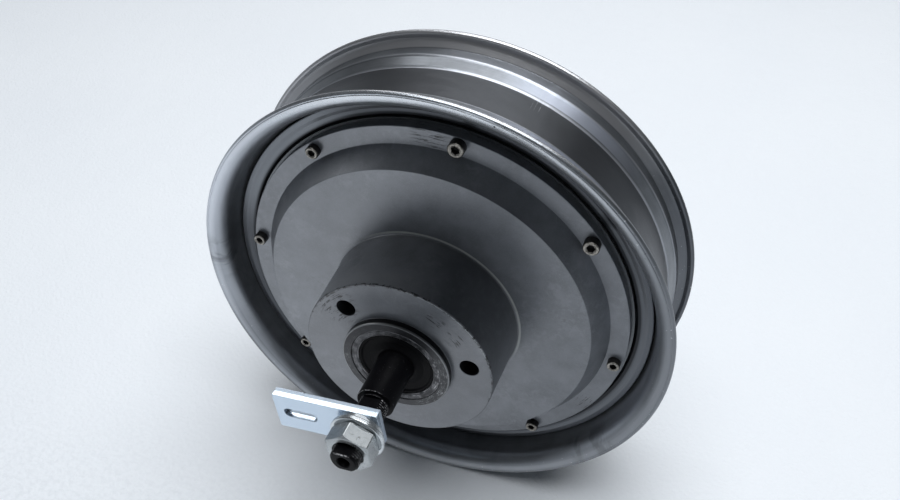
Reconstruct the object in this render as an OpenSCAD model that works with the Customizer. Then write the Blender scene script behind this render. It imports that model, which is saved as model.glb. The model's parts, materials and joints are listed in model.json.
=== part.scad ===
// Hub motor wheel: a rolled steel rim with a brushless outrunner motor welded into it.
// The spin axis is Y. The brake-disc side, with the long axle end and torque plate, faces -Y.
// Modules are drawn about Z with +Z towards the brake side, and on_axle() turns them into place.

/* [Rim] */
// Radius over the rim's lips
rim_r = 165; // [160:0.5:170]
// Width over the two lips
rim_w = 82; // [78:0.5:86]
// Thickness of the rolled rim sheet
sheet_t = 3; // [2.5:0.1:3.5]
// Radius of the well between the bead seats
well_r = 151; // [150:0.5:152]
// Radius of the bead seat ridge
seat_r = 154.8; // [154:0.1:156]
// Distance of the bead seat ridge from the wheel's middle
seat_h = 26.4; // [25:0.1:28]
// Radius of the concave side of the flange
flange_bend_r = 8.4; // [7:0.1:9]

/* [Motor drum] */
// Outer radius of the drum
drum_r = 136; // [135:0.5:137]
// Inner radius of the drum, which the magnets are bonded to
drum_bore_r = 118; // [117:0.5:118.5]
// Half of the drum's length
drum_h = 18.5; // [18:0.1:19]
// Radius of the air gap side of the magnets
magnet_face_r = 113.8; // [113.7:0.1:114.2]
// Number of magnets
magnet_n = 32; // [16:2:40]
// Length of each magnet
magnet_l = 32; // [28:1:34]

/* [Stator] */
// Outer radius of the stator's teeth
stator_r = 113; // [112:0.1:113]
// Number of stator teeth
tooth_n = 36; // [18:9:45]
// Width of one tooth
tooth_w = 8; // [6:0.5:9]
// Length of the laminated stack
stack_l = 35; // [30:1:36]
// Outer radius of the stack's back ring
yoke_r = 88; // [86:0.5:90]
// Inner radius of the stack's back ring
yoke_bore_r = 80; // [78:0.5:82]

/* [Covers] */
// Outer radius of both covers
cover_r = 134.4; // [133:0.1:135]
// Thickness of the covers' bolting flange
flange_t = 7.2; // [6.5:0.1:8]
// Inner radius of the flat bolting face
face_in_r = 122; // [121:0.5:123]
// Radius of the raised middle of the covers
raised_r = 112.7; // [111:0.1:114]
// Height of the raised middle above the wheel's middle plane
raised_h = 40.2; // [38:0.1:42]
// Wall thickness of the covers
cover_t = 6; // [5:0.5:7]

/* [Brake side boss] */
// Radius of the boss at its face
boss_r = 62.6; // [60:0.1:65]
// Radius of the boss at its foot
boss_foot_r = 64.2; // [62:0.1:66]
// Distance of the boss face from the wheel's middle plane
boss_h = 87.3; // [84:0.1:90]
// Radius of the raised register that centres the brake disc
register_r = 36; // [35:0.1:37]
// Height of that register above the boss face
register_t = 5; // [4:0.1:6]
// Pitch circle diameter of the three brake disc holes
disc_pcd = 97; // [94:0.5:100]
// Radius of each brake disc hole
disc_hole_r = 6.25; // [5:0.05:6.5]
// Depth of each brake disc hole
disc_hole_l = 20; // [15:1:24]
// Angle of the first brake disc hole
disc_turn = 13; // [0:1:119]

/* [Axle] */
// Radius of the front thread
front_thread_r = 9; // [8:0.5:9.5]
// Half of the distance across the front flats
front_flat = 6.5; // [6:0.1:7]
// Radius of the front journal
journal_r = 11.8; // [11:0.1:12.2]
// Distance of the front shoulder from the middle plane
front_shoulder_h = 124; // [120:1:126]
// Distance of the front end of the axle from the middle plane
front_end_h = 169; // [166:1:172]
// Radius of the middle of the axle
axle_r = 15; // [14:0.5:16]
// Radius of the rear thread
rear_thread_r = 10; // [9.5:0.5:10.5]
// Half of the distance across the rear flats
rear_flat = 7.5; // [7:0.1:8]
// Distance of the rear shoulder from the middle plane
rear_shoulder_h = 78; // [74:1:80]
// Distance of the rear end of the axle from the middle plane
rear_end_h = 122; // [118:1:126]
// Radius of the cable bore in the rear end
cable_bore_r = 4.5; // [4:0.1:5]
// Angle of the flats and of the torque plate
flat_turn = 6; // [0:1:15]

/* [Torque plate and nuts] */
// Length of the torque plate
plate_l = 69; // [66:0.5:72]
// Height of the torque plate
plate_w = 28; // [26:0.5:30]
// Thickness of the torque plate
plate_t = 6; // [5:0.5:6]
// Distance of the plate's outer face from the middle plane
plate_h = 144; // [143:0.5:144]
// Distance from the axle to the middle of the plate
plate_offset = 22.3; // [20:0.1:24]
// Distance from the axle to the middle of the slot
slot_offset = 40.2; // [39:0.1:41]
// Length of the slot over its round ends
slot_l = 22.4; // [20:0.1:24]
// Width of the slot
slot_w = 7; // [6:0.1:8]
// Distance across the flats of the front nut
front_nut_af = 27; // [27:1:30]
// Thickness of the front nut
front_nut_t = 12; // [11:0.5:13]
// Angle of the front nut
front_nut_turn = 38; // [0:1:59]

/* [Hidden] */

$fn = 96;

// How far a cutting shape runs past the face it cuts
cut = 1;

STEEL = [0.30, 0.31, 0.33];
SILVER_PAINT = [0.47, 0.49, 0.52];
BRIGHT_ZINC = [0.78, 0.83, 0.88];
BLACK_OXIDE = [0.07, 0.07, 0.08];
RUBBER = [0.05, 0.05, 0.055];
BEARING_STEEL = [0.66, 0.67, 0.69];
ALUMINIUM = [0.62, 0.63, 0.65];
BRASS = [0.72, 0.58, 0.28];
MAGNET_NICKEL = [0.55, 0.55, 0.57];
COPPER = [0.72, 0.38, 0.18];
CIRCUIT_GREEN = [0.05, 0.30, 0.14];

// Rim section
lip_h = rim_w / 2 - sheet_t / 2;
lip_bead_r = sheet_t / 2;
bend_c_r = rim_r - lip_bead_r;
bend_c_h = rim_w / 2 - sheet_t - flange_bend_r;
well_half = 14.5;
well_foot_h = 15.7;
// Where each flange rises from its bead seat, and the angle at which it runs into the bend
flange_foot_r = seat_r + 0.3;
flange_foot_h = 33.7;
flange_foot_turn = 128;

// Gap between two magnets, in degrees
magnet_gap = 1.4;

// Weld rings
ring_t = 5.5;
ring_r = well_r - sheet_t;
ring_h = 19.3;
ring_root_h = 18;
ring_land = 3;
ring_edge = 0.6;
// The weld's root at the drum: a small groove beside a flat step
ring_step_w = 1.6;
ring_step_t = 0.2;
ring_groove = 0.9;

// Cover screws: eight on each side, two of them larger on the brake side
screw_n = 8;
screw_pcr = 128.8;
screw_first = -8;
m6_places = [1, 2];
m5_places = [0, 3, 4, 5, 6, 7];
m5_r = 2.5;
m5_head_r = 4.4;
m5_head_l = 5;
m6_r = 3;
m6_head_r = 5.2;
m6_head_l = 6;
screw_grip_l = 12;
tap_l = 15;
// Corner radius of the hexagon sockets as a share of the head's radius
socket_share = 0.52;
// Height of the sockets' floors as a share of the head's height
socket_from = 0.4;
flange_h = drum_h + flange_t;
hole_slack = 0.25;

// Covers inside
register_in_r = 113.9;
register_depth = 2;
inner_raised_r = 108;
boss_back_h = 58;
boss_cavity_r = 56;
rear_boss_r = 46;
rear_boss_foot_r = 48;
rear_boss_h = 56;
foot_fillet_r = 1.6;
edge_break = 0.5;

// Bearings: the outer diameter is the same at both ends
bearing_r = 31;
front_bearing_bore_r = 12.5;
front_bearing_w = 17;
front_bearing_h = 60;
rear_bearing_bore_r = axle_r;
rear_bearing_w = 16;
rear_bearing_h = -46;
shoulder_r = 27;
shoulder_t = 3;
ball_slack = 0.05;
pocket_slack = 0.15;
// Distance of each race ring from the balls' centres, as a share of the ball's radius
groove_share = 0.55;
front_ball_r = 5.75;
front_ball_n = 7;
rear_ball_r = 4.75;
rear_ball_n = 9;

// Seals
seal_r = 30;
seal_case_in_r = 25.5;
seal_slack = 0.06;
front_seal_h = 84;
front_seal_t = 8;
rear_seal_h = -55.5;
rear_seal_t = 6;

// Axle inside
collar_r = 19;
collar_in_h = -20;
collar_out_h = -30;
cable_bore_end_h = -22;
lead_hole_r = 3.5;
// Gap between each shoulder and the start of its flats
flat_gap = 1;
centre_hole_r = 3.7;
centre_hole_l = 18;
end_chamfer = 1.4;
key_w = 8;
key_t = 7;
key_l = 28;
key_seat = 4;

// Stator
carrier_half = 13;
carrier_hub_r = 27;
carrier_rim_r = 72;
carrier_web_t = 10;
carrier_window_n = 6;
carrier_window_r = 14;
tooth_tip_l = 2;
tooth_tip_w = 14.5;
coil_in_r = 90;
coil_out_r = 109;
coil_gap = 0.4;
coil_t = 2.9;
insulator_t = 1.2;
insulator_inset = 0.5;
end_turn_l = 4.5;
board_in_r = 94;
board_out_r = 108;
board_t = 1.6;
board_arc = 50;
board_h = 24.5;
sensor_n = 3;
sensor_gap = 15;
sensor_inset = 6;
sensor_w = 4;
sensor_l = 3;
sensor_t = 1.6;

// Slack of the torque plate's hole on the axle
plate_slack = 0.3;

// Washers and nuts
spring_washer_r = 14.2;
spring_washer_t = 4;
spring_washer_cut = 2.5;
spring_washer_turn = 200;
washer_r = 17;
washer_t = 3;
washer_slack = 0.5;
rear_washer_r = 18.5;
// Thickness of the frame plate that goes between the rear shoulder and the rear washer
rear_dropout_t = 12;
rear_nut_af = 30;
rear_nut_t = 14;
rear_nut_turn = 20;

// Turns a part drawn about +Z so that +Z becomes the brake side, -Y
module on_axle() {
    rotate([90, 0, 0]) children();
}

// Points of an arc about (cx, cy) from angle a0 to a1, in n equal steps
function arc(cx, cy, r, a0, a1, n = 8) =
    [for (i = [0 : n]) let (a = a0 + (a1 - a0) * i / n) [cx + r * cos(a), cy + r * sin(a)]];

// The same outline seen from the rear: heights change sign and the order turns round
function mirrored(outline) = [for (i = [len(outline) - 1 : -1 : 0]) [outline[i][0], -outline[i][1]]];

// A turned ring with a rectangular section
module ring(in_r, out_r, h0, h1) {
    rotate_extrude() translate([in_r, h0]) square([out_r - in_r, h1 - h0]);
}

// Repeats its children at equal angles about the axle
module around(n, first = 0) {
    for (i = [0 : n - 1]) rotate(first + i * 360 / n) children();
}

// Rim: well, slopes to the bead seats and flanges that curl out to round lips
rim_outer_half = concat(
    [[well_r, well_half], [well_r + 0.4, well_foot_h], [seat_r - 0.4, seat_h - 1.2], [seat_r, seat_h],
        [flange_foot_r, flange_foot_h]],
    arc(bend_c_r, bend_c_h, flange_bend_r, flange_foot_turn, 90));
rim_lip = arc(bend_c_r, lip_h, lip_bead_r, -72, 72, 8);
rim_inner_half = concat(
    arc(bend_c_r, bend_c_h, flange_bend_r + sheet_t, 90, 180),
    [[seat_r - sheet_t - 0.4, seat_h - 1.2], [well_r - sheet_t + 0.4, well_foot_h],
        [well_r - sheet_t, well_half]]);
rim_half = concat(rim_outer_half, rim_lip, rim_inner_half);

module rim() {
    color(STEEL) on_axle() rotate_extrude() polygon(concat(rim_half, mirrored(rim_half)));
}

// Weld rings that join the drum to the rim's well
weld_ring_outline = [[drum_r, ring_root_h - ring_t], [ring_r, ring_root_h - ring_t],
    [ring_r, ring_h - ring_edge], [ring_r - ring_edge, ring_h], [ring_r - ring_land, ring_h],
    [drum_r + ring_step_w, ring_root_h + ring_step_t], [drum_r, ring_root_h - ring_groove]];

module mounting_ring_front() {
    color(STEEL) on_axle() rotate_extrude() polygon(weld_ring_outline);
}

module mounting_ring_rear() {
    color(STEEL) on_axle() rotate_extrude() polygon(mirrored(weld_ring_outline));
}

// Drum: the magnets' steel return ring, with blind tapped holes for the cover screws
module at_screws(places) {
    for (i = places) rotate(screw_first + i * 360 / screw_n) translate([screw_pcr, 0, 0]) children();
}

module tapped_holes(r, places) {
    at_screws(places) translate([0, 0, drum_h - tap_l]) cylinder(r = r, h = tap_l + cut);
}

module drum() {
    color(STEEL) on_axle() difference() {
        ring(drum_bore_r, drum_r, -drum_h, drum_h);
        tapped_holes(m6_r, m6_places);
        tapped_holes(m5_r, m5_places);
        mirror([0, 0, 1]) tapped_holes(m5_r, [0 : screw_n - 1]);
    }
}

// Magnets: arc blocks with a gap between neighbours
module magnets() {
    magnet_arc = 360 / magnet_n - magnet_gap;
    color(MAGNET_NICKEL) on_axle() around(magnet_n)
        translate([0, 0, -magnet_l / 2]) rotate(-magnet_arc / 2)
            rotate_extrude(angle = magnet_arc) translate([magnet_face_r, 0])
                square([drum_bore_r - magnet_face_r, magnet_l]);
}

// Covers
cover_flange_outline = [[cover_r - edge_break, flange_h], [cover_r, flange_h - edge_break], [cover_r, drum_h],
    [drum_bore_r - 0.1, drum_h], [drum_bore_r - 0.1, drum_h - register_depth],
    [register_in_r, drum_h - register_depth], [register_in_r, drum_h + 2],
    [inner_raised_r, raised_h - cover_t]];

front_boss_outline = concat(
    [[boss_cavity_r, raised_h - cover_t], [boss_cavity_r, boss_back_h], [bearing_r, boss_back_h],
        [bearing_r, front_bearing_h + front_bearing_w], [shoulder_r, front_bearing_h + front_bearing_w],
        [shoulder_r, front_bearing_h + front_bearing_w + shoulder_t],
        [seal_r, front_bearing_h + front_bearing_w + shoulder_t],
        [seal_r, boss_h + register_t - edge_break], [seal_r + edge_break, boss_h + register_t],
        [register_r - 1, boss_h + register_t], [register_r, boss_h + register_t - 1],
        [register_r, boss_h],
        [boss_r - edge_break, boss_h], [boss_r, boss_h - edge_break]],
    arc(boss_foot_r + foot_fillet_r, raised_h + foot_fillet_r, foot_fillet_r, 180, 270, 5),
    [[raised_r, raised_h], [face_in_r, flange_h]]);

rear_boss_outline = concat(
    [[rear_boss_r - cover_t, raised_h - cover_t], [rear_boss_r - cover_t, -rear_bearing_h - rear_bearing_w],
        [bearing_r, -rear_bearing_h - rear_bearing_w], [bearing_r, -rear_bearing_h],
        [shoulder_r, -rear_bearing_h], [shoulder_r, -rear_bearing_h + shoulder_t],
        [seal_r, -rear_bearing_h + shoulder_t], [seal_r, rear_boss_h - edge_break],
        [seal_r + edge_break, rear_boss_h],
        [rear_boss_r - 1, rear_boss_h], [rear_boss_r, rear_boss_h - 1]],
    arc(rear_boss_foot_r + foot_fillet_r, raised_h + foot_fillet_r, foot_fillet_r, 180, 270, 5),
    [[raised_r, raised_h], [face_in_r, flange_h]]);

module screw_clearance(r, places) {
    at_screws(places) translate([0, 0, drum_h - cut]) cylinder(r = r + hole_slack, h = flange_t + 2 * cut);
}

module front_cover() {
    color(SILVER_PAINT) on_axle() difference() {
        rotate_extrude($fn = 180) polygon(concat(cover_flange_outline, front_boss_outline));
        screw_clearance(m6_r, m6_places);
        screw_clearance(m5_r, m5_places);
        around(3, disc_turn)
            translate([disc_pcd / 2, 0, boss_h - disc_hole_l])
                cylinder(r = disc_hole_r, h = disc_hole_l + cut);
    }
}

module rear_cover() {
    color(SILVER_PAINT) on_axle() mirror([0, 0, 1]) difference() {
        rotate_extrude($fn = 180) polygon(concat(cover_flange_outline, rear_boss_outline));
        screw_clearance(m5_r, [0 : screw_n - 1]);
    }
}

// Socket head screws standing on the covers' bolting face
module socket_screw(r, head_r, head_l) {
    head_edge = 0.6;
    difference() {
        union() {
            translate([0, 0, drum_h - screw_grip_l]) cylinder(r = r, h = screw_grip_l + flange_t + 1);
            translate([0, 0, flange_h]) rotate_extrude()
                polygon([[0, 0], [head_r, 0], [head_r, head_l - head_edge], [head_r - head_edge, head_l],
                    [0, head_l]]);
        }
        translate([0, 0, flange_h + head_l * socket_from])
            cylinder(r = head_r * socket_share, h = head_l, $fn = 6);
    }
}

module screw_set(places, r, head_r, head_l) {
    at_screws(places) socket_screw(r, head_r, head_l);
}

module cover_screws_m5_front() {
    color(BLACK_OXIDE) on_axle() screw_set(m5_places, m5_r, m5_head_r, m5_head_l);
}

module cover_screws_m6_front() {
    color(BLACK_OXIDE) on_axle() screw_set(m6_places, m6_r, m6_head_r, m6_head_l);
}

module cover_screws_rear() {
    color(BLACK_OXIDE) on_axle() mirror([0, 0, 1]) screw_set([0 : screw_n - 1], m5_r, m5_head_r, m5_head_l);
}

// Seals: a steel case with a lip that runs on the axle
module seal_case(h0, t) {
    ring(seal_case_in_r, seal_r, h0, h0 + t);
}

module seal_lip(shaft_r, h0, t) {
    lip_r = shaft_r + seal_slack;
    lip_top = h0 + t - 0.8;
    rotate_extrude() polygon([[lip_r, h0], [seal_case_in_r, h0], [seal_case_in_r, lip_top - 0.7],
        [lip_r + 4, lip_top - 1.7], [lip_r + 2.1, lip_top], [lip_r, lip_top]]);
}

module front_seal_case() {
    color(BEARING_STEEL) on_axle() seal_case(front_seal_h, front_seal_t);
}

module front_seal_lip() {
    color(RUBBER) on_axle() seal_lip(journal_r, front_seal_h, front_seal_t);
}

module rear_seal_case() {
    color(BEARING_STEEL) on_axle() seal_case(rear_seal_h, rear_seal_t);
}

module rear_seal_lip() {
    color(RUBBER) on_axle() mirror([0, 0, 1]) seal_lip(axle_r, -rear_seal_h - rear_seal_t, rear_seal_t);
}

// Deep groove ball bearings; h0 is the height of the face that is furthest from the brake side
function pitch_r(bore_r) = (bore_r + bearing_r) / 2;

module race_groove(bore_r, ball_r, mid_h) {
    rotate_extrude() translate([pitch_r(bore_r), mid_h]) circle(r = ball_r + ball_slack, $fn = 48);
}

module outer_race(bore_r, ball_r, h0, w) {
    difference() {
        ring(pitch_r(bore_r) + ball_r * groove_share, bearing_r, h0, h0 + w);
        race_groove(bore_r, ball_r, h0 + w / 2);
    }
}

module inner_race(bore_r, ball_r, h0, w) {
    difference() {
        ring(bore_r, pitch_r(bore_r) - ball_r * groove_share, h0, h0 + w);
        race_groove(bore_r, ball_r, h0 + w / 2);
    }
}

module balls(bore_r, ball_r, n, mid_h) {
    around(n) translate([pitch_r(bore_r), 0, mid_h]) sphere(r = ball_r, $fn = 48);
}

module cage(bore_r, ball_r, n, mid_h) {
    half_t = ball_r * 0.25;
    half_w = ball_r * 1.25;
    difference() {
        ring(pitch_r(bore_r) - half_t, pitch_r(bore_r) + half_t, mid_h - half_w, mid_h + half_w);
        around(n) translate([pitch_r(bore_r) - half_t - cut, 0, mid_h]) rotate([0, 90, 0])
            cylinder(r = ball_r + pocket_slack, h = 2 * (half_t + cut), $fn = 48);
    }
}

module front_bearing_outer_race() {
    color(BEARING_STEEL) on_axle()
        outer_race(front_bearing_bore_r, front_ball_r, front_bearing_h, front_bearing_w);
}

module front_bearing_inner_race() {
    color(BEARING_STEEL) on_axle()
        inner_race(front_bearing_bore_r, front_ball_r, front_bearing_h, front_bearing_w);
}

module front_bearing_balls() {
    color(BEARING_STEEL) on_axle()
        balls(front_bearing_bore_r, front_ball_r, front_ball_n, front_bearing_h + front_bearing_w / 2);
}

module front_bearing_cage() {
    color(BRASS) on_axle()
        cage(front_bearing_bore_r, front_ball_r, front_ball_n, front_bearing_h + front_bearing_w / 2);
}

module rear_bearing_outer_race() {
    color(BEARING_STEEL) on_axle()
        outer_race(rear_bearing_bore_r, rear_ball_r, rear_bearing_h, rear_bearing_w);
}

module rear_bearing_inner_race() {
    color(BEARING_STEEL) on_axle()
        inner_race(rear_bearing_bore_r, rear_ball_r, rear_bearing_h, rear_bearing_w);
}

module rear_bearing_balls() {
    color(BEARING_STEEL) on_axle()
        balls(rear_bearing_bore_r, rear_ball_r, rear_ball_n, rear_bearing_h + rear_bearing_w / 2);
}

module rear_bearing_cage() {
    color(BRASS) on_axle()
        cage(rear_bearing_bore_r, rear_ball_r, rear_ball_n, rear_bearing_h + rear_bearing_w / 2);
}

// Axle: turned shaft with flats on both threaded ends and a cable bore from the rear
axle_outline = [
    [0, -rear_end_h], [rear_thread_r - end_chamfer, -rear_end_h], [rear_thread_r, -rear_end_h + end_chamfer],
    [rear_thread_r, -rear_shoulder_h], [axle_r - edge_break, -rear_shoulder_h],
    [axle_r, -rear_shoulder_h + edge_break], [axle_r, collar_out_h], [collar_r, collar_out_h],
    [collar_r, collar_in_h], [axle_r, collar_in_h], [axle_r, front_bearing_h],
    [front_bearing_bore_r, front_bearing_h], [front_bearing_bore_r, front_bearing_h + front_bearing_w],
    [journal_r, front_bearing_h + front_bearing_w], [journal_r, front_shoulder_h - edge_break],
    [journal_r - edge_break, front_shoulder_h], [front_thread_r, front_shoulder_h],
    [front_thread_r, front_end_h - end_chamfer], [front_thread_r - end_chamfer, front_end_h],
    [0, front_end_h]];

// The two slabs cut away beside a pair of flats
module flats(half, from_h, to_h) {
    for (side = [0, 180])
        rotate(flat_turn + side) translate([-collar_r, half, from_h])
            cube([2 * collar_r, collar_r, to_h - from_h]);
}

module axle() {
    color(BLACK_OXIDE) on_axle() difference() {
        rotate_extrude() polygon(axle_outline);
        flats(front_flat, front_shoulder_h + flat_gap, front_end_h + cut);
        flats(rear_flat, -rear_end_h - cut, -rear_shoulder_h - flat_gap);
        translate([0, 0, front_end_h - centre_hole_l]) cylinder(r = centre_hole_r, h = centre_hole_l + cut);
        translate([0, 0, -rear_end_h - cut])
            cylinder(r = cable_bore_r, h = rear_end_h + cut + cable_bore_end_h);
        translate([0, 0, (collar_in_h + collar_out_h) / 2]) rotate([0, 90, 180])
            cylinder(r = lead_hole_r, h = collar_r + cut);
        translate([-key_w / 2, axle_r - key_seat, -key_l / 2]) cube([key_w, key_seat + cut, key_l]);
    }
}

module axle_key() {
    color(BEARING_STEEL) on_axle()
        translate([-key_w / 2, axle_r - key_seat, -key_l / 2]) cube([key_w, key_t, key_l]);
}

// Stator: aluminium spider, laminated core, insulated ends and one coil on each tooth
module stator_carrier() {
    color(ALUMINIUM) on_axle() difference() {
        union() {
            ring(axle_r, carrier_hub_r, collar_in_h, carrier_half);
            ring(carrier_hub_r - cut, carrier_rim_r + cut, -carrier_web_t / 2, carrier_web_t / 2);
            ring(carrier_rim_r, yoke_bore_r, -stack_l / 2, stack_l / 2);
        }
        translate([-key_w / 2, 0, collar_in_h - cut])
            cube([key_w, axle_r - key_seat + key_t, carrier_half - collar_in_h + 2 * cut]);
        around(carrier_window_n, 30)
            translate([(carrier_hub_r + carrier_rim_r) / 2, 0, -carrier_web_t])
                cylinder(r = carrier_window_r, h = 2 * carrier_web_t);
    }
}

// Outline of the laminations, which the end insulators repeat a little smaller
module lamination(ring_out_r, in_r, tip_r, neck_w, tip_w) {
    past = 4;
    intersection() {
        difference() {
            union() {
                circle(r = ring_out_r);
                around(tooth_n) union() {
                    translate([ring_out_r - past, -neck_w / 2])
                        square([tip_r - ring_out_r + 2 * past, neck_w]);
                    translate([tip_r - tooth_tip_l, -tip_w / 2]) square([tooth_tip_l + past, tip_w]);
                }
            }
            circle(r = in_r);
        }
        circle(r = tip_r);
    }
}

module stator_core() {
    color(STEEL) on_axle() translate([0, 0, -stack_l / 2])
        linear_extrude(stack_l) lamination(yoke_r, yoke_bore_r, stator_r, tooth_w, tooth_tip_w);
}

module end_insulator() {
    linear_extrude(insulator_t)
        lamination(yoke_r - insulator_inset, yoke_bore_r + insulator_inset, stator_r - insulator_inset,
            tooth_w - insulator_inset, tooth_tip_w - 2 * insulator_inset);
}

module end_insulator_front() {
    color("ivory") on_axle() translate([0, 0, stack_l / 2]) end_insulator();
}

module end_insulator_rear() {
    color("ivory") on_axle() mirror([0, 0, 1]) translate([0, 0, stack_l / 2]) end_insulator();
}

// One coil: a block round a tooth, lying on the end insulators
module coil() {
    inner_w = tooth_w + 2 * coil_gap;
    inner_l = stack_l + 2 * insulator_t;
    difference() {
        translate([coil_in_r, -inner_w / 2 - coil_t, -inner_l / 2 - end_turn_l])
            cube([coil_out_r - coil_in_r, inner_w + 2 * coil_t, inner_l + 2 * end_turn_l]);
        translate([coil_in_r - cut, -inner_w / 2, -inner_l / 2])
            cube([coil_out_r - coil_in_r + 2 * cut, inner_w, inner_l]);
    }
}

module windings() {
    color(COPPER) on_axle() around(tooth_n) coil();
}

// Rotor position sensors on an arc of circuit board over the brake side's end turns
module hall_board() {
    color(CIRCUIT_GREEN) on_axle() translate([0, 0, board_h]) rotate(-board_arc / 2)
        rotate_extrude(angle = board_arc) translate([board_in_r, 0])
            square([board_out_r - board_in_r, board_t]);
}

module hall_sensors() {
    color(BLACK_OXIDE) on_axle() for (i = [0 : sensor_n - 1])
        rotate((i - 1) * sensor_gap) translate([board_out_r - sensor_inset, -sensor_w / 2, board_h + board_t])
            cube([sensor_l, sensor_w, sensor_t]);
}

// Torque plate: hangs on the flats and is held to the frame through its slot
module flatted_hole(r, half) {
    intersection() {
        circle(r = r);
        translate([-r - cut, -half]) square([2 * (r + cut), 2 * half]);
    }
}

module torque_plate() {
    corner = 0.8;
    slot_half = (slot_l - slot_w) / 2;
    left = -plate_offset - plate_l / 2;
    right = left + plate_l;
    top = plate_w / 2;
    color(BRIGHT_ZINC) on_axle() rotate(flat_turn) translate([0, 0, plate_h - plate_t])
        linear_extrude(plate_t) difference() {
            polygon([[left + corner, -top], [right - corner, -top], [right, -top + corner],
                [right, top - corner], [right - corner, top], [left + corner, top],
                [left, top - corner], [left, -top + corner]]);
            flatted_hole(front_thread_r + plate_slack, front_flat + plate_slack);
            translate([-slot_offset - slot_half, 0]) circle(d = slot_w);
            translate([-slot_offset + slot_half, 0]) circle(d = slot_w);
            translate([-slot_offset - slot_half, -slot_w / 2]) square([2 * slot_half, slot_w]);
        }
}

module spring_washer() {
    color(BRIGHT_ZINC) on_axle() difference() {
        ring(front_thread_r + washer_slack, spring_washer_r, plate_h, plate_h + spring_washer_t);
        rotate(spring_washer_turn) translate([0, -spring_washer_cut / 2, plate_h - cut])
            cube([spring_washer_r + cut, spring_washer_cut, spring_washer_t + 2 * cut]);
    }
}

front_washer_h = plate_h + spring_washer_t;
front_nut_h = front_washer_h + washer_t;

module front_washer() {
    color(BRIGHT_ZINC) on_axle() ring(front_thread_r + washer_slack, washer_r, front_washer_h, front_nut_h);
}

// Hexagon nut, chamfered on both sides
module nut(thread_r, af, t, turn) {
    corner_r = af / sqrt(3);
    face_r = af / 2 - 0.4;
    over_r = corner_r + 0.3;
    chamfer = (corner_r - af / 2) * 0.62;
    difference() {
        intersection() {
            rotate(turn) cylinder(r = corner_r, h = t, $fn = 6);
            rotate_extrude()
                polygon([[0, 0], [face_r, 0], [over_r, chamfer], [over_r, t - chamfer], [face_r, t], [0, t]]);
        }
        translate([0, 0, -cut]) cylinder(r = thread_r, h = t + 2 * cut);
    }
}

module front_nut() {
    color(BRIGHT_ZINC) on_axle() translate([0, 0, front_nut_h])
        nut(front_thread_r, front_nut_af, front_nut_t, front_nut_turn);
}

rear_washer_h = -rear_shoulder_h - rear_dropout_t - washer_t;

module rear_washer() {
    color(BRIGHT_ZINC) on_axle()
        ring(rear_thread_r + washer_slack, rear_washer_r, rear_washer_h, rear_washer_h + washer_t);
}

module rear_nut() {
    color(BRIGHT_ZINC) on_axle() translate([0, 0, rear_washer_h - rear_nut_t])
        nut(rear_thread_r, rear_nut_af, rear_nut_t, rear_nut_turn);
}

rim();
mounting_ring_front();
mounting_ring_rear();
drum();
magnets();
front_cover();
rear_cover();
cover_screws_m5_front();
cover_screws_m6_front();
cover_screws_rear();
front_seal_case();
front_seal_lip();
rear_seal_case();
rear_seal_lip();
front_bearing_outer_race();
front_bearing_inner_race();
front_bearing_balls();
front_bearing_cage();
rear_bearing_outer_race();
rear_bearing_inner_race();
rear_bearing_balls();
rear_bearing_cage();
axle();
axle_key();
stator_carrier();
stator_core();
windings();
end_insulator_front();
end_insulator_rear();
hall_board();
hall_sensors();
torque_plate();
spring_washer();
front_washer();
front_nut();
rear_washer();
rear_nut();
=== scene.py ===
import json
import math
import random

import bmesh
import bpy
from mathutils import Euler, Matrix, Vector, noise


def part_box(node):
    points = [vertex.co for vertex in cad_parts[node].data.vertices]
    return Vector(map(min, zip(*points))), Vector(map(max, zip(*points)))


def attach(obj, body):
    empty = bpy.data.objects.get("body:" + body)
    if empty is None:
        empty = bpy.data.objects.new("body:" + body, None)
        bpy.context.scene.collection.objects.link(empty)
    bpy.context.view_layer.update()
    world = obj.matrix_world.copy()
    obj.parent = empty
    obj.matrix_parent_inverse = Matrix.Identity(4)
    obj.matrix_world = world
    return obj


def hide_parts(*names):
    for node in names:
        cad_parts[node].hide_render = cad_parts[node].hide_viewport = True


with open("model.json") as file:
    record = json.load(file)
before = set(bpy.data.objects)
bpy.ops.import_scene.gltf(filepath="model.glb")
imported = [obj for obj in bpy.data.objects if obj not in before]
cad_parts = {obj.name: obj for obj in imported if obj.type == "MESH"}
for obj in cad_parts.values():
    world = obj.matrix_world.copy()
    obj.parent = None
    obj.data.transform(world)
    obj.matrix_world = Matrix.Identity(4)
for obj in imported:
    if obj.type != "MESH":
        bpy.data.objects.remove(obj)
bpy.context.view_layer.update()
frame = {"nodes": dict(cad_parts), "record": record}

# Sizes are in millimetres. r is the distance from the axle's line, h the distance from the wheel's
# middle towards the brake side, which is -Y, and a the angle from +X towards +Z.
MM = 0.001
FLAT = math.radians(6.0)  # turn of the axle's flats and of the torque plate
SEAM = math.radians(66)  # place of the weld seam across the rim
RNG = random.Random(5)
SEG = 288  # sides of a full turn


def span(node):
    """(radius, lowest h, highest h) of a round CAD node."""
    lo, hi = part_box(node)
    return hi.z / MM, -hi.y / MM, -lo.y / MM


mounts = {mount["name"]: mount for mount in frame["record"]["mounts"]}
disc_holes = mounts["brake_disc_holes"]
disc_pcr, disc_hole_r = disc_holes["dims"]["pcd_mm"] / 2, disc_holes["dims"]["hole_r_mm"]
disc_angles = (13, 133, -107)
boss_top = -disc_holes["pos_m"][1] / MM
register_r = mounts["brake_disc_register"]["dims"]["r_mm"]


def place(r, h, a):
    """The point at r, h and angle a, in metres."""
    return Vector((r * math.cos(a), -h, r * math.sin(a))) * MM


# ---------------- meshes

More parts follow.
